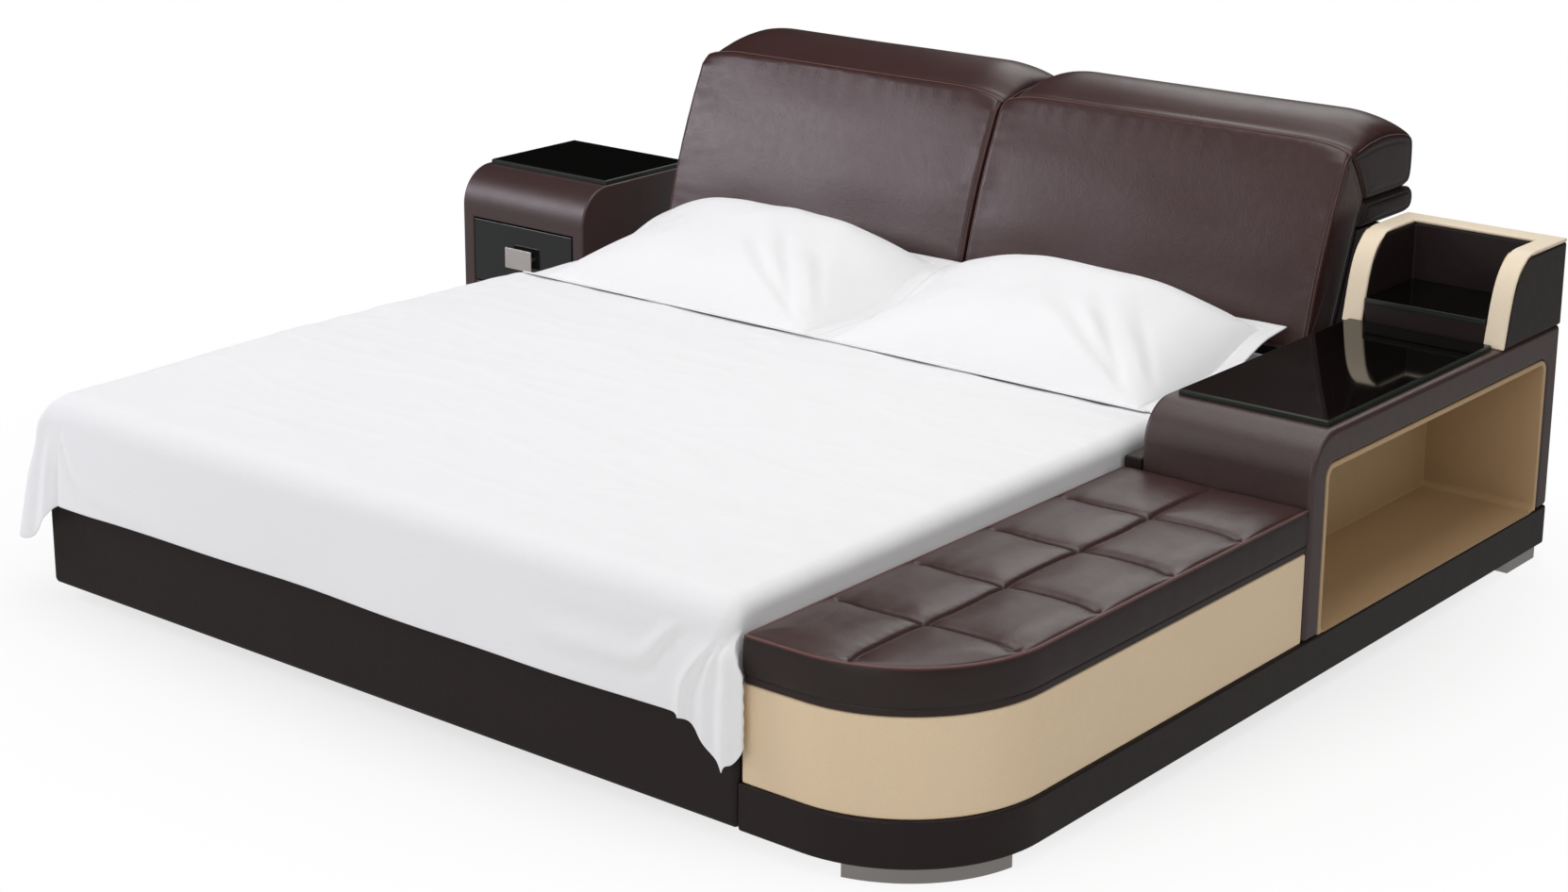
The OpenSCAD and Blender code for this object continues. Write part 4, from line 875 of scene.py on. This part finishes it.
class BED_OT_headrests(bpy.types.Operator):
    """Builds the two folding headrests with their crowned tops"""

    bl_idname = "bed.headrests"
    bl_label = "Headrests"

    def execute(self, context):
        _, hy, hz = hinge()
        outline = rounded(rest_outline(), 180)
        y, z = outline.T
        top = [i for i in range(len(outline)) if z[i] > hz - 100 and y[i] > hy + 4
               and z[i] > hz - 30 - 0.2 * (y[i] - hy)]
        for side, name, x0, x1 in halves():
            body = f"headrest_{name}_half"
            shape = stuffed(side + 2, False)
            rest = piece("headrest_leather_" + name,
                         lofted_pad(x0, x1, outline, PAD_RADIUS, PAD_PUFF, shape),
                         "dark", body, "leather", "headrest_" + name)
            for t in HINGE_AT:
                carve(rest, ratchet_space(x0 + (x1 - x0) * t))
            low, high = span("headrest_board_" + name)
            carve(rest, [slab(low - (0.3, 0.3, 4.0), high + 0.3)])
            # The headrests' end faces get the darker side leather: painted shade.
            shade_side_faces(rest, lambda face: abs(face.normal.x) > 0.8)
            seams = [self.seam(section(outline, shape, x, SEAM_IN, 0.5)[top])
                     for x in (x0 + SEAM_IN, x1 - SEAM_IN)]
            # The seam cords wear the lightened seam leather: a painted highlight along the headrest's ends.
            piece("rest_seam_" + name, merged(seams), "seam", body, "leather")
        return {"FINISHED"}

    @staticmethod
    def seam(run):
        """A rolled seam along a run of points, which may start anywhere in it."""
        jump = int(np.argmax(np.linalg.norm(np.diff(run, axis=0), axis=1)))
        if np.linalg.norm(run[jump + 1] - run[jump]) > 30:
            run = np.roll(run, -jump - 1, axis=0)
        return tube(run, SEAM_RADIUS)


def slab(low, high):
    """A box as (points, faces)."""
    points = [(x, y, z) for z in (low[2], high[2]) for y in (low[1], high[1]) for x in (low[0], high[0])]
    faces = [(0, 2, 3, 1), (4, 5, 7, 6), (0, 1, 5, 4), (2, 6, 7, 3), (0, 4, 6, 2), (1, 3, 7, 5)]
    return np.array(points, float), faces


class BED_OT_bolster(bpy.types.Operator):
    """Builds the bolster that closes the headboard's box behind the pads"""

    bl_idname = "bed.bolster"
    bl_label = "Bolster"

    def execute(self, context):
        low, high = span("bolster")
        _, hy, _ = hinge()
        z0, z1, y1 = low[2], high[2], high[1]
        h = z1 - z0
        front = PAD_FOOT[0] + PAD_LEAN * (z0 - PAD_FOOT[1]) + PAD_THICK + 2.5
        outline = [(hy + 50, z1), (hy + 80, z1 + 0.3), (y1 - 40, z1), (y1 - 14, z1 - 3), (y1 - 3, z1 - h * 0.2),
                   (y1 + 1, z1 - h * 0.42), (y1, z1 - h * 0.66), (y1 - 8, z0 + h * 0.12),
                   (y1 - 24, z0 + 1), (y1 - 60, z0), (front + 14, z0), (front + 1, z0 + 1.5),
                   (front, z0 + 10), (hy + 40, z1 - 14)]
        shape = lofted_pad(low[0], high[0], rounded(outline, 96), 12.0, 4.0)
        roll = piece("bolster_leather", shape, "deep", "bed", "leather", "bolster")
        return {"FINISHED"}


# ------------------ bench


def packed(low, high, marks, wide, fine, reach=16.0):
    """Stations from low to high, `wide` apart and closer together round each mark."""
    near = [np.arange(m - reach, m + reach + 0.1, fine) for m in marks]
    far = [v for v in np.arange(low, high, wide) if all(abs(v - m) > reach + wide * 0.5 for m in marks)]
    values = np.unique(np.concatenate([*near, far, [low, high]]))
    return values[(values >= low) & (values <= high)]


class BED_OT_seat(bpy.types.Operator):
    """Builds the tufted bench seat, its piping and the leather band of its lid"""

    bl_idname = "bed.seat"
    bl_label = "Bench seat"

    # The seams between the tufted squares, a square's size, the front corner and the piping's height.
    seam_x, seam_ys = 2231.0, (252.0, 503.0, 754.0, 1006.0)
    square = (222.0, 251.0)
    radius, top = 305.0, 416.0
    # The cushion's side from its top down: depth below the top, and how far it stands out.
    levels = ((2.0, -1.0), (5.5, -0.6), (9, 0.5), (20, 1.6), (40, 2.2), (58, 1.8), (72, 0.8),
              (76, -0.5), (78, -2.0), (79, -12.0))

    def execute(self, context):
        p = context.scene.bed_sizes
        low, high = span("seat_cushion")
        x0, x1, y0, y1 = low[0], high[0], low[1], high[1]
        radius, top = self.radius, self.top
        cx, cy = x1 - radius, y0 + radius
        turn = np.linspace(0, math.pi / 2, 40)
        xs = np.unique(np.concatenate([packed(x0, cx, (), 8.0, 2.5)[:-1], cx + radius * np.sin(turn),
                                       np.arange(self.seam_x - 16, self.seam_x + 17, 2.5)]))
        xs = xs[np.r_[True, np.diff(xs) > 0.2]]
        fronts = cy - np.sqrt(np.maximum(0, radius ** 2 - np.maximum(0, xs - cx) ** 2))
        ys = packed(cy, y1, self.seam_ys[1:], 8.0, 2.5)
        t = np.linspace(0, 1, 110)[:-1]
        gy = np.vstack([fronts + (cy - fronts) * t[:, None], np.tile(ys[:, None], (1, len(xs)))])
        gx = np.tile(xs, (len(gy), 1))
        corner = (gx > cx) & (gy < cy)
        arc = radius - np.hypot(gx - cx, gy - cy)
        edge = np.minimum.reduce([gx - x0, x1 - gx, gy - y0, y1 - gy, np.where(corner, arc, 1e4)])
        gz = top + self.height(gx, gy, np.maximum(edge, 0), p.crown * 1000, p.seam * 1000)
        rows, cols = gx.shape
        points = np.stack([gx, gy, gz], -1).reshape(-1, 3)
        faces = grid_faces(rows, cols)
        border = grid_border(rows, cols)
        border = border[:1] + border[:0:-1]
        border = [b for k, b in enumerate(border) if np.linalg.norm(points[b] - points[border[k - 1]]) > 0.1]
        loop = points[border][:, :2]
        normal = outward(loop)
        previous = border
        ripple = field(loop[:, 0], loop[:, 1], 4.0, 0.02)
        for depth, out in self.levels:
            bulge = out + ripple * 0.7 * (1 if 8 < depth < 75 else 0)
            ring = np.column_stack([loop + normal * bulge[:, None], np.full(len(loop), top - depth)])
            current = list(range(len(points), len(points) + len(loop)))
            points = np.vstack([points, ring])
            faces += belt(previous, current)
            previous = current
        faces += cap(previous, len(points))
        points = np.vstack([points, np.append(loop.mean(axis=0), top - depth)])
        seat = piece("seat_leather", (points, faces), "dark", "bench_lid", "leather", "seat_cushion")
        band = place([(0, 0, top - 6.0)])[0][2]
        # The seat's sides below its top get the darker side leather: painted shade.
        shade_side_faces(seat, lambda face: face.center.z < band)
        self.piping(x0, x1, y0, y1, cx, cy)
        # The lid's band also gets the darker side leather: painted shade.
        softened("lid_board", "lid_band", "panel", "bench_lid", "leather", 0.004)
        return {"FINISHED"}

    def height(self, x, y, edge, crown, depth):
        """Puffed squares between narrow seams, drawn in where the seams cross."""
        swing = 7.0 * np.sin((x - self.seam_x) / self.square[0] * math.pi)
        sway = 4.0 * np.sin((y - self.seam_ys[0]) / self.square[1] * math.pi)
        d_long = np.abs(x - self.seam_x - sway)
        d_cross = np.min([np.abs(y - s - swing) for s in self.seam_ys], axis=0)
        d = np.minimum(d_long, d_cross)
        groove = np.exp(-(d / 3.6) ** 1.6) * 0.42 + hump(d, 0, 13.0) * 0.26 + hump(d, 0, 44.0) * 0.32
        node = hump(np.hypot(d_long, d_cross), 0, 20.0)
        rise = crown * (1 - (1 - np.minimum(edge / 70.0, 1)) ** 2.4)
        along_x = x + 6 * np.sin(y * 0.035)
        along_y = y + 6 * np.sin(x * 0.035)
        gather = (np.sin(along_x * 0.23) * np.exp(-d_cross / 13.0) * (1 - hump(d_cross, 0, 4.0))
                  + np.sin(along_y * 0.23) * np.exp(-d_long / 13.0) * (1 - hump(d_long, 0, 4.0)))
        slow = field(x, y, 2.0, 0.008)
        quick = field(x, y, 5.0, 0.028)
        inner = smooth(edge / 30.0)
        sewn = -1.6 * hump(edge, 4.0, 2.6)
        return (rise - depth * groove * smooth(edge / 26.0) * 1.3 - 5.5 * node
                + (gather * 0.55 + slow * 1.2 + quick * 0.5) * inner + sewn)

    def piping(self, x0, x1, y0, y1, cx, cy):
        """The cord sewn round the top edge."""
        radius, top = self.radius - 0.6, self.top
        turn = np.linspace(0, math.pi / 2, 60)
        front = np.linspace(x0 + 14, cx, 20)[:-1]
        side = np.linspace(cy + 8, y1 - 2, 40)
        path = np.vstack([[(x0 + 1, y1 - 2), (x0 + 1, y0 + 10), (x0 + 5, y0 + 2)],
                          np.column_stack([front, np.full(len(front), y0 + 0.6)]),
                          np.column_stack([cx + radius * np.sin(turn), cy - radius * np.cos(turn)]),
                          np.column_stack([np.full(len(side), x1 - 0.6), side])])
        cord = tube(np.column_stack([path, np.full(len(path), top)]), 2.2, 8)
        # The piping cord wears the lightened seam leather: a painted highlight along the seat's top edge.
        piece("seat_piping_cord", cord, "seam", "bench_lid", "leather", "seat_piping")


class BED_OT_bench_box(bpy.types.Operator):
    """Covers the storage box in cream leather and the plinth in dark leather"""

    bl_idname = "bed.bench_box"
    bl_label = "Bench box and plinth"

    def execute(self, context):
        leather_over("cream", "cream_leather", ("storage_box", "storage", 0.005))
        leather_over("deep", "leather", ("plinth_fascia", "plinth", 0.006))
        return {"FINISHED"}


class BED_OT_rails(bpy.types.Operator):
    """Covers the padded rails, the headboard's boards and the mattress fence in leather"""

    bl_idname = "bed.rails"
    bl_label = "Padded rails"

    def execute(self, context):
        leather_over("deep", "leather", ("foot_rail", "foot_rail", 0.012, 4),
                     ("left_side_rail", "side_rail", 0.012, 4),
                     ("headboard_front_board", "headboard_front", 0.005),
                     ("headboard_back_panel", "headboard_back", 0.005),
                     ("mattress_fence", "fence", 0.006))
        return {"FINISHED"}


class BED_OT_cabinets(bpy.types.Operator):
    """Covers the nightstand, the side table and the hutch in leather"""

    bl_idname = "bed.cabinets"
    bl_label = "Nightstand, table and hutch"

    def execute(self, context):
        leather_over("case", "leather", ("nightstand_body", "nightstand", 0.009, 4),
                     ("table_shell", "table", 0.011, 4))
        # The cubby liner wears the darker cream: painted shade in the recess.
        leather_over("lining", "cream_leather", ("cubby_liner", "cubby", 0.003))
        leather_over("deep", "leather", ("hutch", "hutch", 0.006))
        leather_over("trim", "cream_leather", ("hutch_trim", "hutch_trim", 0.004))
        leather_over("deep", "leather", ("hutch_riser", "riser", 0.004))
        for node in ("nightstand_glass", "table_glass", "hutch_glass"):
            softened(node, node + "_polished", "glass", "bed", "black_glass", 0.0012, 2)
        return {"FINISHED"}


class BED_OT_drawers(bpy.types.Operator):
    """Finishes the drawers' black fronts and steel plate handles"""

    bl_idname = "bed.drawers"
    bl_label = "Drawers"

    def execute(self, context):
        for level in ("upper", "lower"):
            body = level + "_drawer_set"
            softened(level + "_drawer_front", level + "_front_lacquer", "front", body, "black_glass", 0.0022)
            # The handles wear the lightened steel: a painted highlight.
            softened(level + "_drawer_handle", level + "_handle_plate", "bright", body, "brushed_steel",
                     0.0012)
        return {"FINISHED"}


class BED_OT_hardware(bpy.types.Operator):
    """Gives the frame, feet, slats, ratchets and hinges their finishes"""

    bl_idname = "bed.hardware"
    bl_label = "Frame and hardware"

    finishes = {
        "deep": "headboard_ribs",
        "timber": "right_side_rail head_rail corner_blocks centre_beam slat_bearers slats "
                  "headrest_board_left headrest_board_right nightstand_back upper_drawer lower_drawer "
                  "plinth_boards",
        "rubber": "rubber_feet slat_caps wall_bumpers",
        "steel": "front_foot rear_foot ratchet_plates ratchet_pins cabinet_runners hinge_leaf_fixed "
                 "hinge_leaf_moving frame_bolts",
        "coat": "centre_legs ratchet_cheeks_left ratchet_cheeks_right link_plates",
    }

    def execute(self, context):
        for look, names in self.finishes.items():
            for node in names.split():
                dress(node, look)
        return {"FINISHED"}


# ------------------ bedding


class BED_OT_mattress(bpy.types.Operator):
    """Builds the mattress in its fitted sheet"""

    bl_idname = "bed.mattress"
    bl_label = "Mattress"

    def execute(self, context):
        low, high = span("mattress")
        corner, lip = 68.0, 34.0
        turn = np.linspace(0, math.pi / 2, 10)
        spots = [(high[0] - corner, high[1] - corner, 0), (low[0] + corner, high[1] - corner, 1),
                 (low[0] + corner, low[1] + corner, 2), (high[0] - corner, low[1] + corner, 3)]
        loop = resample(np.array([(x + corner * math.cos(a + k * math.pi / 2),
                                   y + corner * math.sin(a + k * math.pi / 2))
                                  for x, y, k in spots for a in turn]), 320)
        normal = outward(loop)
        up = np.linspace(0, math.pi / 2, 7)
        levels = ([(lip * (1 - math.sin(a)), low[2] + lip * (1 - math.cos(a))) for a in up]
                  + [(0, z) for z in np.linspace(low[2] + lip + 10, high[2] - lip - 10, 8)]
                  + [(lip * (1 - math.cos(a)), high[2] - lip * (1 - math.sin(a))) for a in up])
        rings = []
        for inset, z in levels:
            ripple = field(loop[:, 0], loop[:, 1], z * 0.02, 0.012)
            ring = loop - normal * (inset + 1.5 - ripple[:, None] * 1.5)
            rings.append(np.column_stack([ring, np.full(len(ring), z)]))
        centre = loop.mean(axis=0)
        for t in (0.97, 0.92, 0.85, 0.75, 0.6, 0.45, 0.3, 0.15):
            ring = centre + (loop - normal * lip - centre) * t
            sag = field(ring[:, 0], ring[:, 1], 1.0, 0.006) - 1.0
            rings.append(np.column_stack([ring, high[2] + sag]))
        count = len(loop)
        points = np.vstack(rings + [[(*centre, high[2] - 1.0)], [(*centre, low[2])]])
        last = (len(rings) - 1) * count
        faces = (grid_faces(len(rings), count, wrap=True)
                 + cap(list(range(last, last + count)), len(points) - 2)
                 + [(b, a, tip) for a, b, tip in cap(list(range(count)), len(points) - 1)])
        body = piece("mattress_in_sheet", (points, faces), "cotton", "bed", "bedding", "mattress")
        return {"FINISHED"}


class BED_OT_cover(bpy.types.Operator):
    """Drapes the white cover over the mattress and down the foot"""

    bl_idname = "bed.cover"
    bl_label = "Cover"

    # The flat part's edges and height, how far the cloth hangs over them, and its bends there.
    left, right, foot_y, top = 80.0, 1962.0, 44.0, 476.5
    hang = 274.0
    soft_r, tight_r = 60.0, 36.0
    # Behind front_y the cloth stays left of bench_x, clear of the bench.
    front_y, bench_x = -6.0, 1998.0

    def execute(self, context):
        head = span("bed_cover")[1][1]
        x0, x1, y0 = self.left, self.right, self.foot_y
        falling = np.linspace(self.hang, 0, 36)[:-1]
        across = ([(x0, -a) for a in falling] + [(x, 0) for x in np.linspace(x0, x1, 150)]
                  + [(x1, a) for a in np.linspace(0, self.hang, 40)[1:]])
        along = ([(y0, a) for a in falling] + [(y, 0) for y in np.linspace(y0, head - 40, 100)]
                 + [(y, 0) for y in np.linspace(head - 34, head, 7)])
        grid = np.array([[self.point(x, y, ox, oy, head) for x, ox in across] for y, oy in along])
        shape = grid.reshape(-1, 3), grid_faces(*grid.shape[:2])
        cover = piece("cover_cloth", shape, "cotton", "bed", "bedding", "bed_cover")
        thick = cover.modifiers.new("cloth", "SOLIDIFY")
        thick.thickness, thick.offset = 0.0026, -1.0
        fine = cover.modifiers.new("fine", "SUBSURF")
        fine.levels = fine.render_levels = 1
        apply_modifiers(cover)
        return {"FINISHED"}

    def point(self, x, y, over_x, over_y, head):
        """Where a point of the cloth lies that goes over_x and over_y past the flat part's edges."""
        if over_x == 0 and over_y == 0:
            return x, y, self.flat_height(x, y, head)
        right = over_x > 0
        phi = math.atan2(abs(over_x), over_y) if over_x else 0.0
        turn = math.degrees(phi)
        corner = math.sin(2 * phi) ** 1.5 if over_x and over_y else 0.0
        d = math.hypot(over_x, over_y)
        if right:
            bend = self.soft_r + (self.tight_r - self.soft_r) * math.sin(phi) ** 2
            d *= 1 + 0.04 * corner - 0.14 * hump(turn, 45, 10) - 0.27 * smooth((turn - 74) / 16)
        else:
            bend = self.soft_r + 45.0 * hump(turn, 58, 24) * corner ** 0.33
            blunt = 0.44 * abs(math.sin(math.pi * (turn / 90) ** 1.36)) ** 1.3
            d *= (1 + blunt) * max(math.cos(phi), math.sin(phi))
        angle = min(math.pi / 2, d / bend)
        fall = max(0.0, d - bend * math.pi / 2)
        share = fall / (self.hang - 94.0)
        out = bend * math.sin(angle)
        away = min(1.0, d / 120)
        edge_z = self.flat_height(x, y, head) * (1 - away) + self.top * away
        z = edge_z - bend * (1 - math.cos(angle)) - fall
        if over_x == 0:
            return self.foot(x, y, out, fall, share, z)
        if right:
            return self.right_corner(x, y, phi, out, fall, share, z)
        return self.left_corner(x, y, phi, bend, out, fall, share, z)

    def flat_height(self, x, y, head):
        """The lying part: broad soft folds, a slight swell at the left, a loose head edge."""
        swell = 13.0 * hump(y, 700, 420) * hump(x, self.left, 330)
        soft = noise.noise((x * 0.0030, y * 0.0042, 3.0)) * 3.0
        crease = abs(noise.noise((x * 0.0022 + y * 0.0006, y * 0.011, 8.0)))
        folds = 2.6 * (1 - min(1.0, crease * 5.0)) ** 2
        near = max(0.0, 1 - (head - y) / 70.0)
        lifted = max(0.0, noise.noise((x * 0.006, 4.0, 1.0))) * 5.0
        return self.top + swell + soft + folds - near * (6.0 - lifted)

    def foot(self, x, y, out, fall, share, z):
        """The part that hangs over the foot: slow waves, and slack rolls that lead to the corners."""
        wave = (5.0 * math.sin(x * 0.0052 + 0.6) + 2.0 * math.sin(x * 0.0127)) * share
        roll = 318 + 130 * smooth((x - 1740) / 180) ** 1.5
        slack = 8.0 * smooth((x - 1470) / 200) * (1 - 0.7 * smooth((x - 1890) / 70))
        starts = min(1.0, share * 6)
        rolls = hump(z, roll, 22) - 0.6 * hump(z, roll + 45, 20) - 0.6 * hump(z, roll - 38, 18)
        wave += slack * rolls * starts
        pull = 236 + 170 * math.exp(-(x - self.left) / 55)
        near = math.exp(-(x - self.left) / 160)
        wave += near * (6.0 * hump(z, pull + 30, 22) - 7.0 * hump(z, pull, 15)) * starts
        shift = self.corner_shift(share) * smooth((x - 1760) / 210) ** 1.5
        ridge = self.ridges(0.0, share) * hump(x, 1970, 22)
        return x + shift, y - out - 0.07 * fall - wave - ridge, z

    @staticmethod
    def corner_shift(share):
        """How far the held corner's cloth is drawn left, at a share of the way down."""
        return -76.0 * smooth(share / 0.75) ** 0.8

    @staticmethod
    def ridges(t, share):
        """Upright folds at the held corner, t from its left side to its right."""
        return (15 * hump(t, 0, 0.07) + 8 * hump(t, 0.32, 0.1) + 15 * hump(t, 0.62, 0.12)) * smooth(share * 2.4)

    def left_corner(self, x, y, phi, bend, out, fall, share, z):
        """A free corner: a full cone of cloth with a ridge down to the tip."""
        flare = 0.07 + 0.05 * smooth(phi / 0.21) + 0.08 * hump(phi, 1.05, 0.35)
        ridge = 10.0 * hump(phi, 1.02, 0.11) - 8.0 * hump(phi, 0.72, 0.14) + 7.0 * hump(phi, 0.38, 0.12)
        fold = ridge * smooth(share * 1.6 + 0.1)
        ahead = out + flare * fall + fold
        bulge = 1.55 * (self.soft_r / bend) ** 0.7
        beside = out * bulge + (flare - 0.07 * smooth((phi - 1.22) / 0.35)) * fall + fold
        return x - beside * math.sin(phi), y - ahead * math.cos(phi), z

    def right_corner(self, x, y, phi, out, fall, share, z):
        """A corner held by the bench: its cloth hangs in upright folds in front of the rail."""
        share = min(1.0, share)
        half = math.pi / 4
        t = 0.62 * phi / half if phi < half else 0.62 + 0.38 * (phi / half - 1)
        free = smooth(share * 3.0)
        loose = 1 - smooth((t - 0.80) / 0.2)
        spread = self.corner_shift(share) * (1 - t) + smooth(share * 1.6) * 64.0 * t * loose
        px = x + spread + out * math.sin(phi) * (1 - free * loose) + 33.0 * free * loose * t
        ahead = out * math.cos(phi) * (1 - free) + free * (self.soft_r * loose + 0.07 * fall * (1 - t))
        py = y - ahead - self.ridges(t, share) * loose
        if py > self.front_y:
            px = min(px, self.bench_x)
        return px, py, z


class BED_OT_pillows(bpy.types.Operator):
    """Stuffs the two flanged pillows and lays them against the back pads"""

    bl_idname = "bed.pillows"
    bl_label = "Pillows"

    tilt = 0.100
    tall = 134.0
    # The mattress's top, and how much higher the cover lies in front of its head edge.
    sheet_z, cover_h, cover_end = 466.2, 11.6, 1440
    # Each crease: its upper end as shares of the pillow, depth, width, and its lower end's shift.
    creases = ((-0.07, 0.24, 7.5, 14.0, 0.0, 0.0), (0.04, 0.30, 5.5, 13.0, -44.0, 30.0),
               (0.17, 0.24, 4.0, 11.0, 6.0, 70.0))

    def execute(self, context):
        border = context.scene.bed_sizes.flange * 1000
        for side, name, more in ((1, "left", 20.0), (2, "right", 36.0)):
            low, high = span("pillow_" + name)
            self.pillow(name, low + (7.0, -25.0, 0), high + (more, 0, 0), side, border)
        return {"FINISHED"}

    def pillow(self, name, low, high, side, border):
        """Two faces laid out flat, tilted, let down on the bed and sewn together round the rim."""
        w, l = high[0] - low[0], high[1] - low[1]
        gx, gy = np.meshgrid(*(self.stations(size / 2, border) for size in (w, l)))
        upper = self.upper(gx, gy, w, l, border, side)
        in_x, in_y = (np.clip((half - np.abs(at) - border) / (half - border), 0, 1)
                      for half, at in ((w / 2, gx), (l / 2, gy)))
        lower = -22.0 * (1 - (1 - in_x) ** 3) ** 0.6 * (1 - (1 - in_y) ** 3) ** 0.6
        mid = np.array(((low[0] + high[0]) / 2, (low[1] + high[1]) / 2))
        layers = []
        for z in (upper, lower):
            back = gy * math.cos(self.tilt) - z * math.sin(self.tilt)
            rise = gy * math.sin(self.tilt) + z * math.cos(self.tilt)
            layers.append(np.stack([gx + mid[0], back + mid[1], rise], -1))
        bed = self.sheet_z + self.cover_h * (1 - smooth((layers[1][..., 1] - self.cover_end) / 40))
        lift = np.max(bed - layers[1][..., 2])
        for layer in layers:
            layer[..., 2] += lift
        self.settle(layers, bed)
        points = np.vstack([layer.reshape(-1, 3) for layer in layers])
        m, n = gx.shape
        faces = grid_faces(m, n) + [f[::-1] for f in grid_faces(m, n, start=m * n)]
        rim = grid_border(m, n)
        faces += belt(rim, [i + m * n for i in rim])
        pillow = piece("pillow_case_" + name, (points, faces), "cotton", "bed", "bedding", "pillow_" + name)

    @staticmethod
    def stations(half, border):
        """Places across a pillow from -half to half, closer together at its border's seams."""
        near = packed(0.0, half, (border,), 7.0, 2.0, 6.0)
        return np.concatenate([near - half, (half - near)[::-1][1:]])

    def settle(self, layers, bed):
        """Lets the front border lie down on the bed."""
        _, back, under = layers[1].transpose(2, 0, 1)
        sink = np.maximum(0, under - bed) * (1 - smooth((back - back.max() + 330) / 260))
        for layer in layers:
            layer[..., 2] -= sink

    def upper(self, x, y, w, l, border, side):
        """Height of the upper face: a wedge that is full at the rear, folded towards one corner."""
        from_side = np.clip(w / 2 - np.abs(x) - border, 0, None)
        from_front = np.clip(y + l / 2 - border, 0, None)
        from_rear = np.clip(l / 2 - border - y, 0, None)
        across = (1 - np.exp(-(from_side / 58.0) ** 0.9)) * (0.70 + 0.30 * smooth(from_side / 300.0))
        along = (1 - np.exp(-(from_front / 110.0) ** 0.95)) * (1 - np.exp(-(from_rear / 42.0) ** 0.9))
        lean = 0.84 + 0.22 * smooth((y + l / 2) / l) - 0.20 * (x / w) ** 2 - 0.08 * (x / w)
        lumps = field(x, y, side * 3.0, 0.0055) * 8 + field(x, y, side * 9.0, 0.014) * 3
        fill = across * along
        in_x, in_y = w / 2 - np.abs(x), l / 2 - np.abs(y)
        seam = -1.6 * (hump(in_x, border, 2.5) + hump(in_y, border, 2.5))
        inside = (in_x >= border - 3) & (in_y >= border - 3)
        limp = field(x, y, side * 5.0, 0.018) * 1.5
        folds = self.folds(x, y, w, l, border, side) * np.minimum(1, fill * 3)
        return (3 + fill * (self.tall * lean + lumps) + folds
                + np.where(inside, seam, 0) + np.where(fill <= 0, limp, 0))

    def folds(self, x, y, w, l, border, side):
        """Three creases that run from the crest down to the front right corner."""
        corner = np.array((w / 2 - border - 22, -l / 2 + border + 18))
        total = np.zeros_like(x)
        for k, (ex, ey, deep, wide, over, up) in enumerate(self.creases):
            tip = corner + (over, up)
            way = np.array((ex * w, ey * l)) - tip
            reach = np.linalg.norm(way)
            way /= reach
            run = ((x - tip[0]) * way[0] + (y - tip[1]) * way[1]) / reach
            bow = 34.0 * np.sin(np.clip(run, 0, 1) * math.pi) * (1 - 0.5 * k)
            off = (x - tip[0]) * -way[1] + (y - tip[1]) * way[0] - bow
            fade = smooth(run / 0.12) * (1 - smooth((run - 0.40) / 0.50))
            wide = wide * (1 + 1.6 * np.clip(run, 0, 1))
            total += fade * deep * (0.8 * hump(off, 1.9 * wide, wide) - hump(off, 0, wide * 0.8))
        ripple = np.sin(x * 0.045 + 2 * np.sin(y * 0.02 + side)) * np.exp(-((y + l / 2 - border) / 50.0))
        return total + 1.5 * ripple


# ------------------ panel and running


STEPS = (BED_OT_stage, BED_OT_rails, BED_OT_bench_box, BED_OT_seat, BED_OT_cabinets, BED_OT_drawers,
         BED_OT_hardware, BED_OT_back_pads, BED_OT_headrests, BED_OT_bolster, BED_OT_mattress,
         BED_OT_cover, BED_OT_pillows)


class BED_PT_panel(bpy.types.Panel):
    """Lists the bed's sizes, finishes and pieces"""

    bl_idname = "BED_PT_panel"
    bl_label = "Bed"
    bl_space_type = "VIEW_3D"
    bl_region_type = "UI"
    bl_category = "Bed"

    def draw(self, context):
        layout = self.layout
        for owner in GROUPS:
            group = getattr(context.scene, owner)
            box = layout.box()
            for name in group.__annotations__:
                box.prop(group, name)
        for step in STEPS:
            layout.operator(step.bl_idname)


GROUPS = {"bed_finish": BedFinish, "bed_sizes": BedSizes, "bed_stage": BedStage}
CLASSES = (*GROUPS.values(), *STEPS, BED_PT_panel)


def register():
    for cls in CLASSES:
        bpy.utils.register_class(cls)
    for owner, group in GROUPS.items():
        setattr(bpy.types.Scene, owner, PointerProperty(type=group))


def unregister():
    for owner in GROUPS:
        delattr(bpy.types.Scene, owner)
    for cls in reversed(CLASSES):
        bpy.utils.unregister_class(cls)


def main():
    """Builds everything in order."""
    register()
    for step in STEPS:
        getattr(bpy.ops.bed, step.bl_idname.split(".")[1])()


if __name__ == "__main__":
    main()
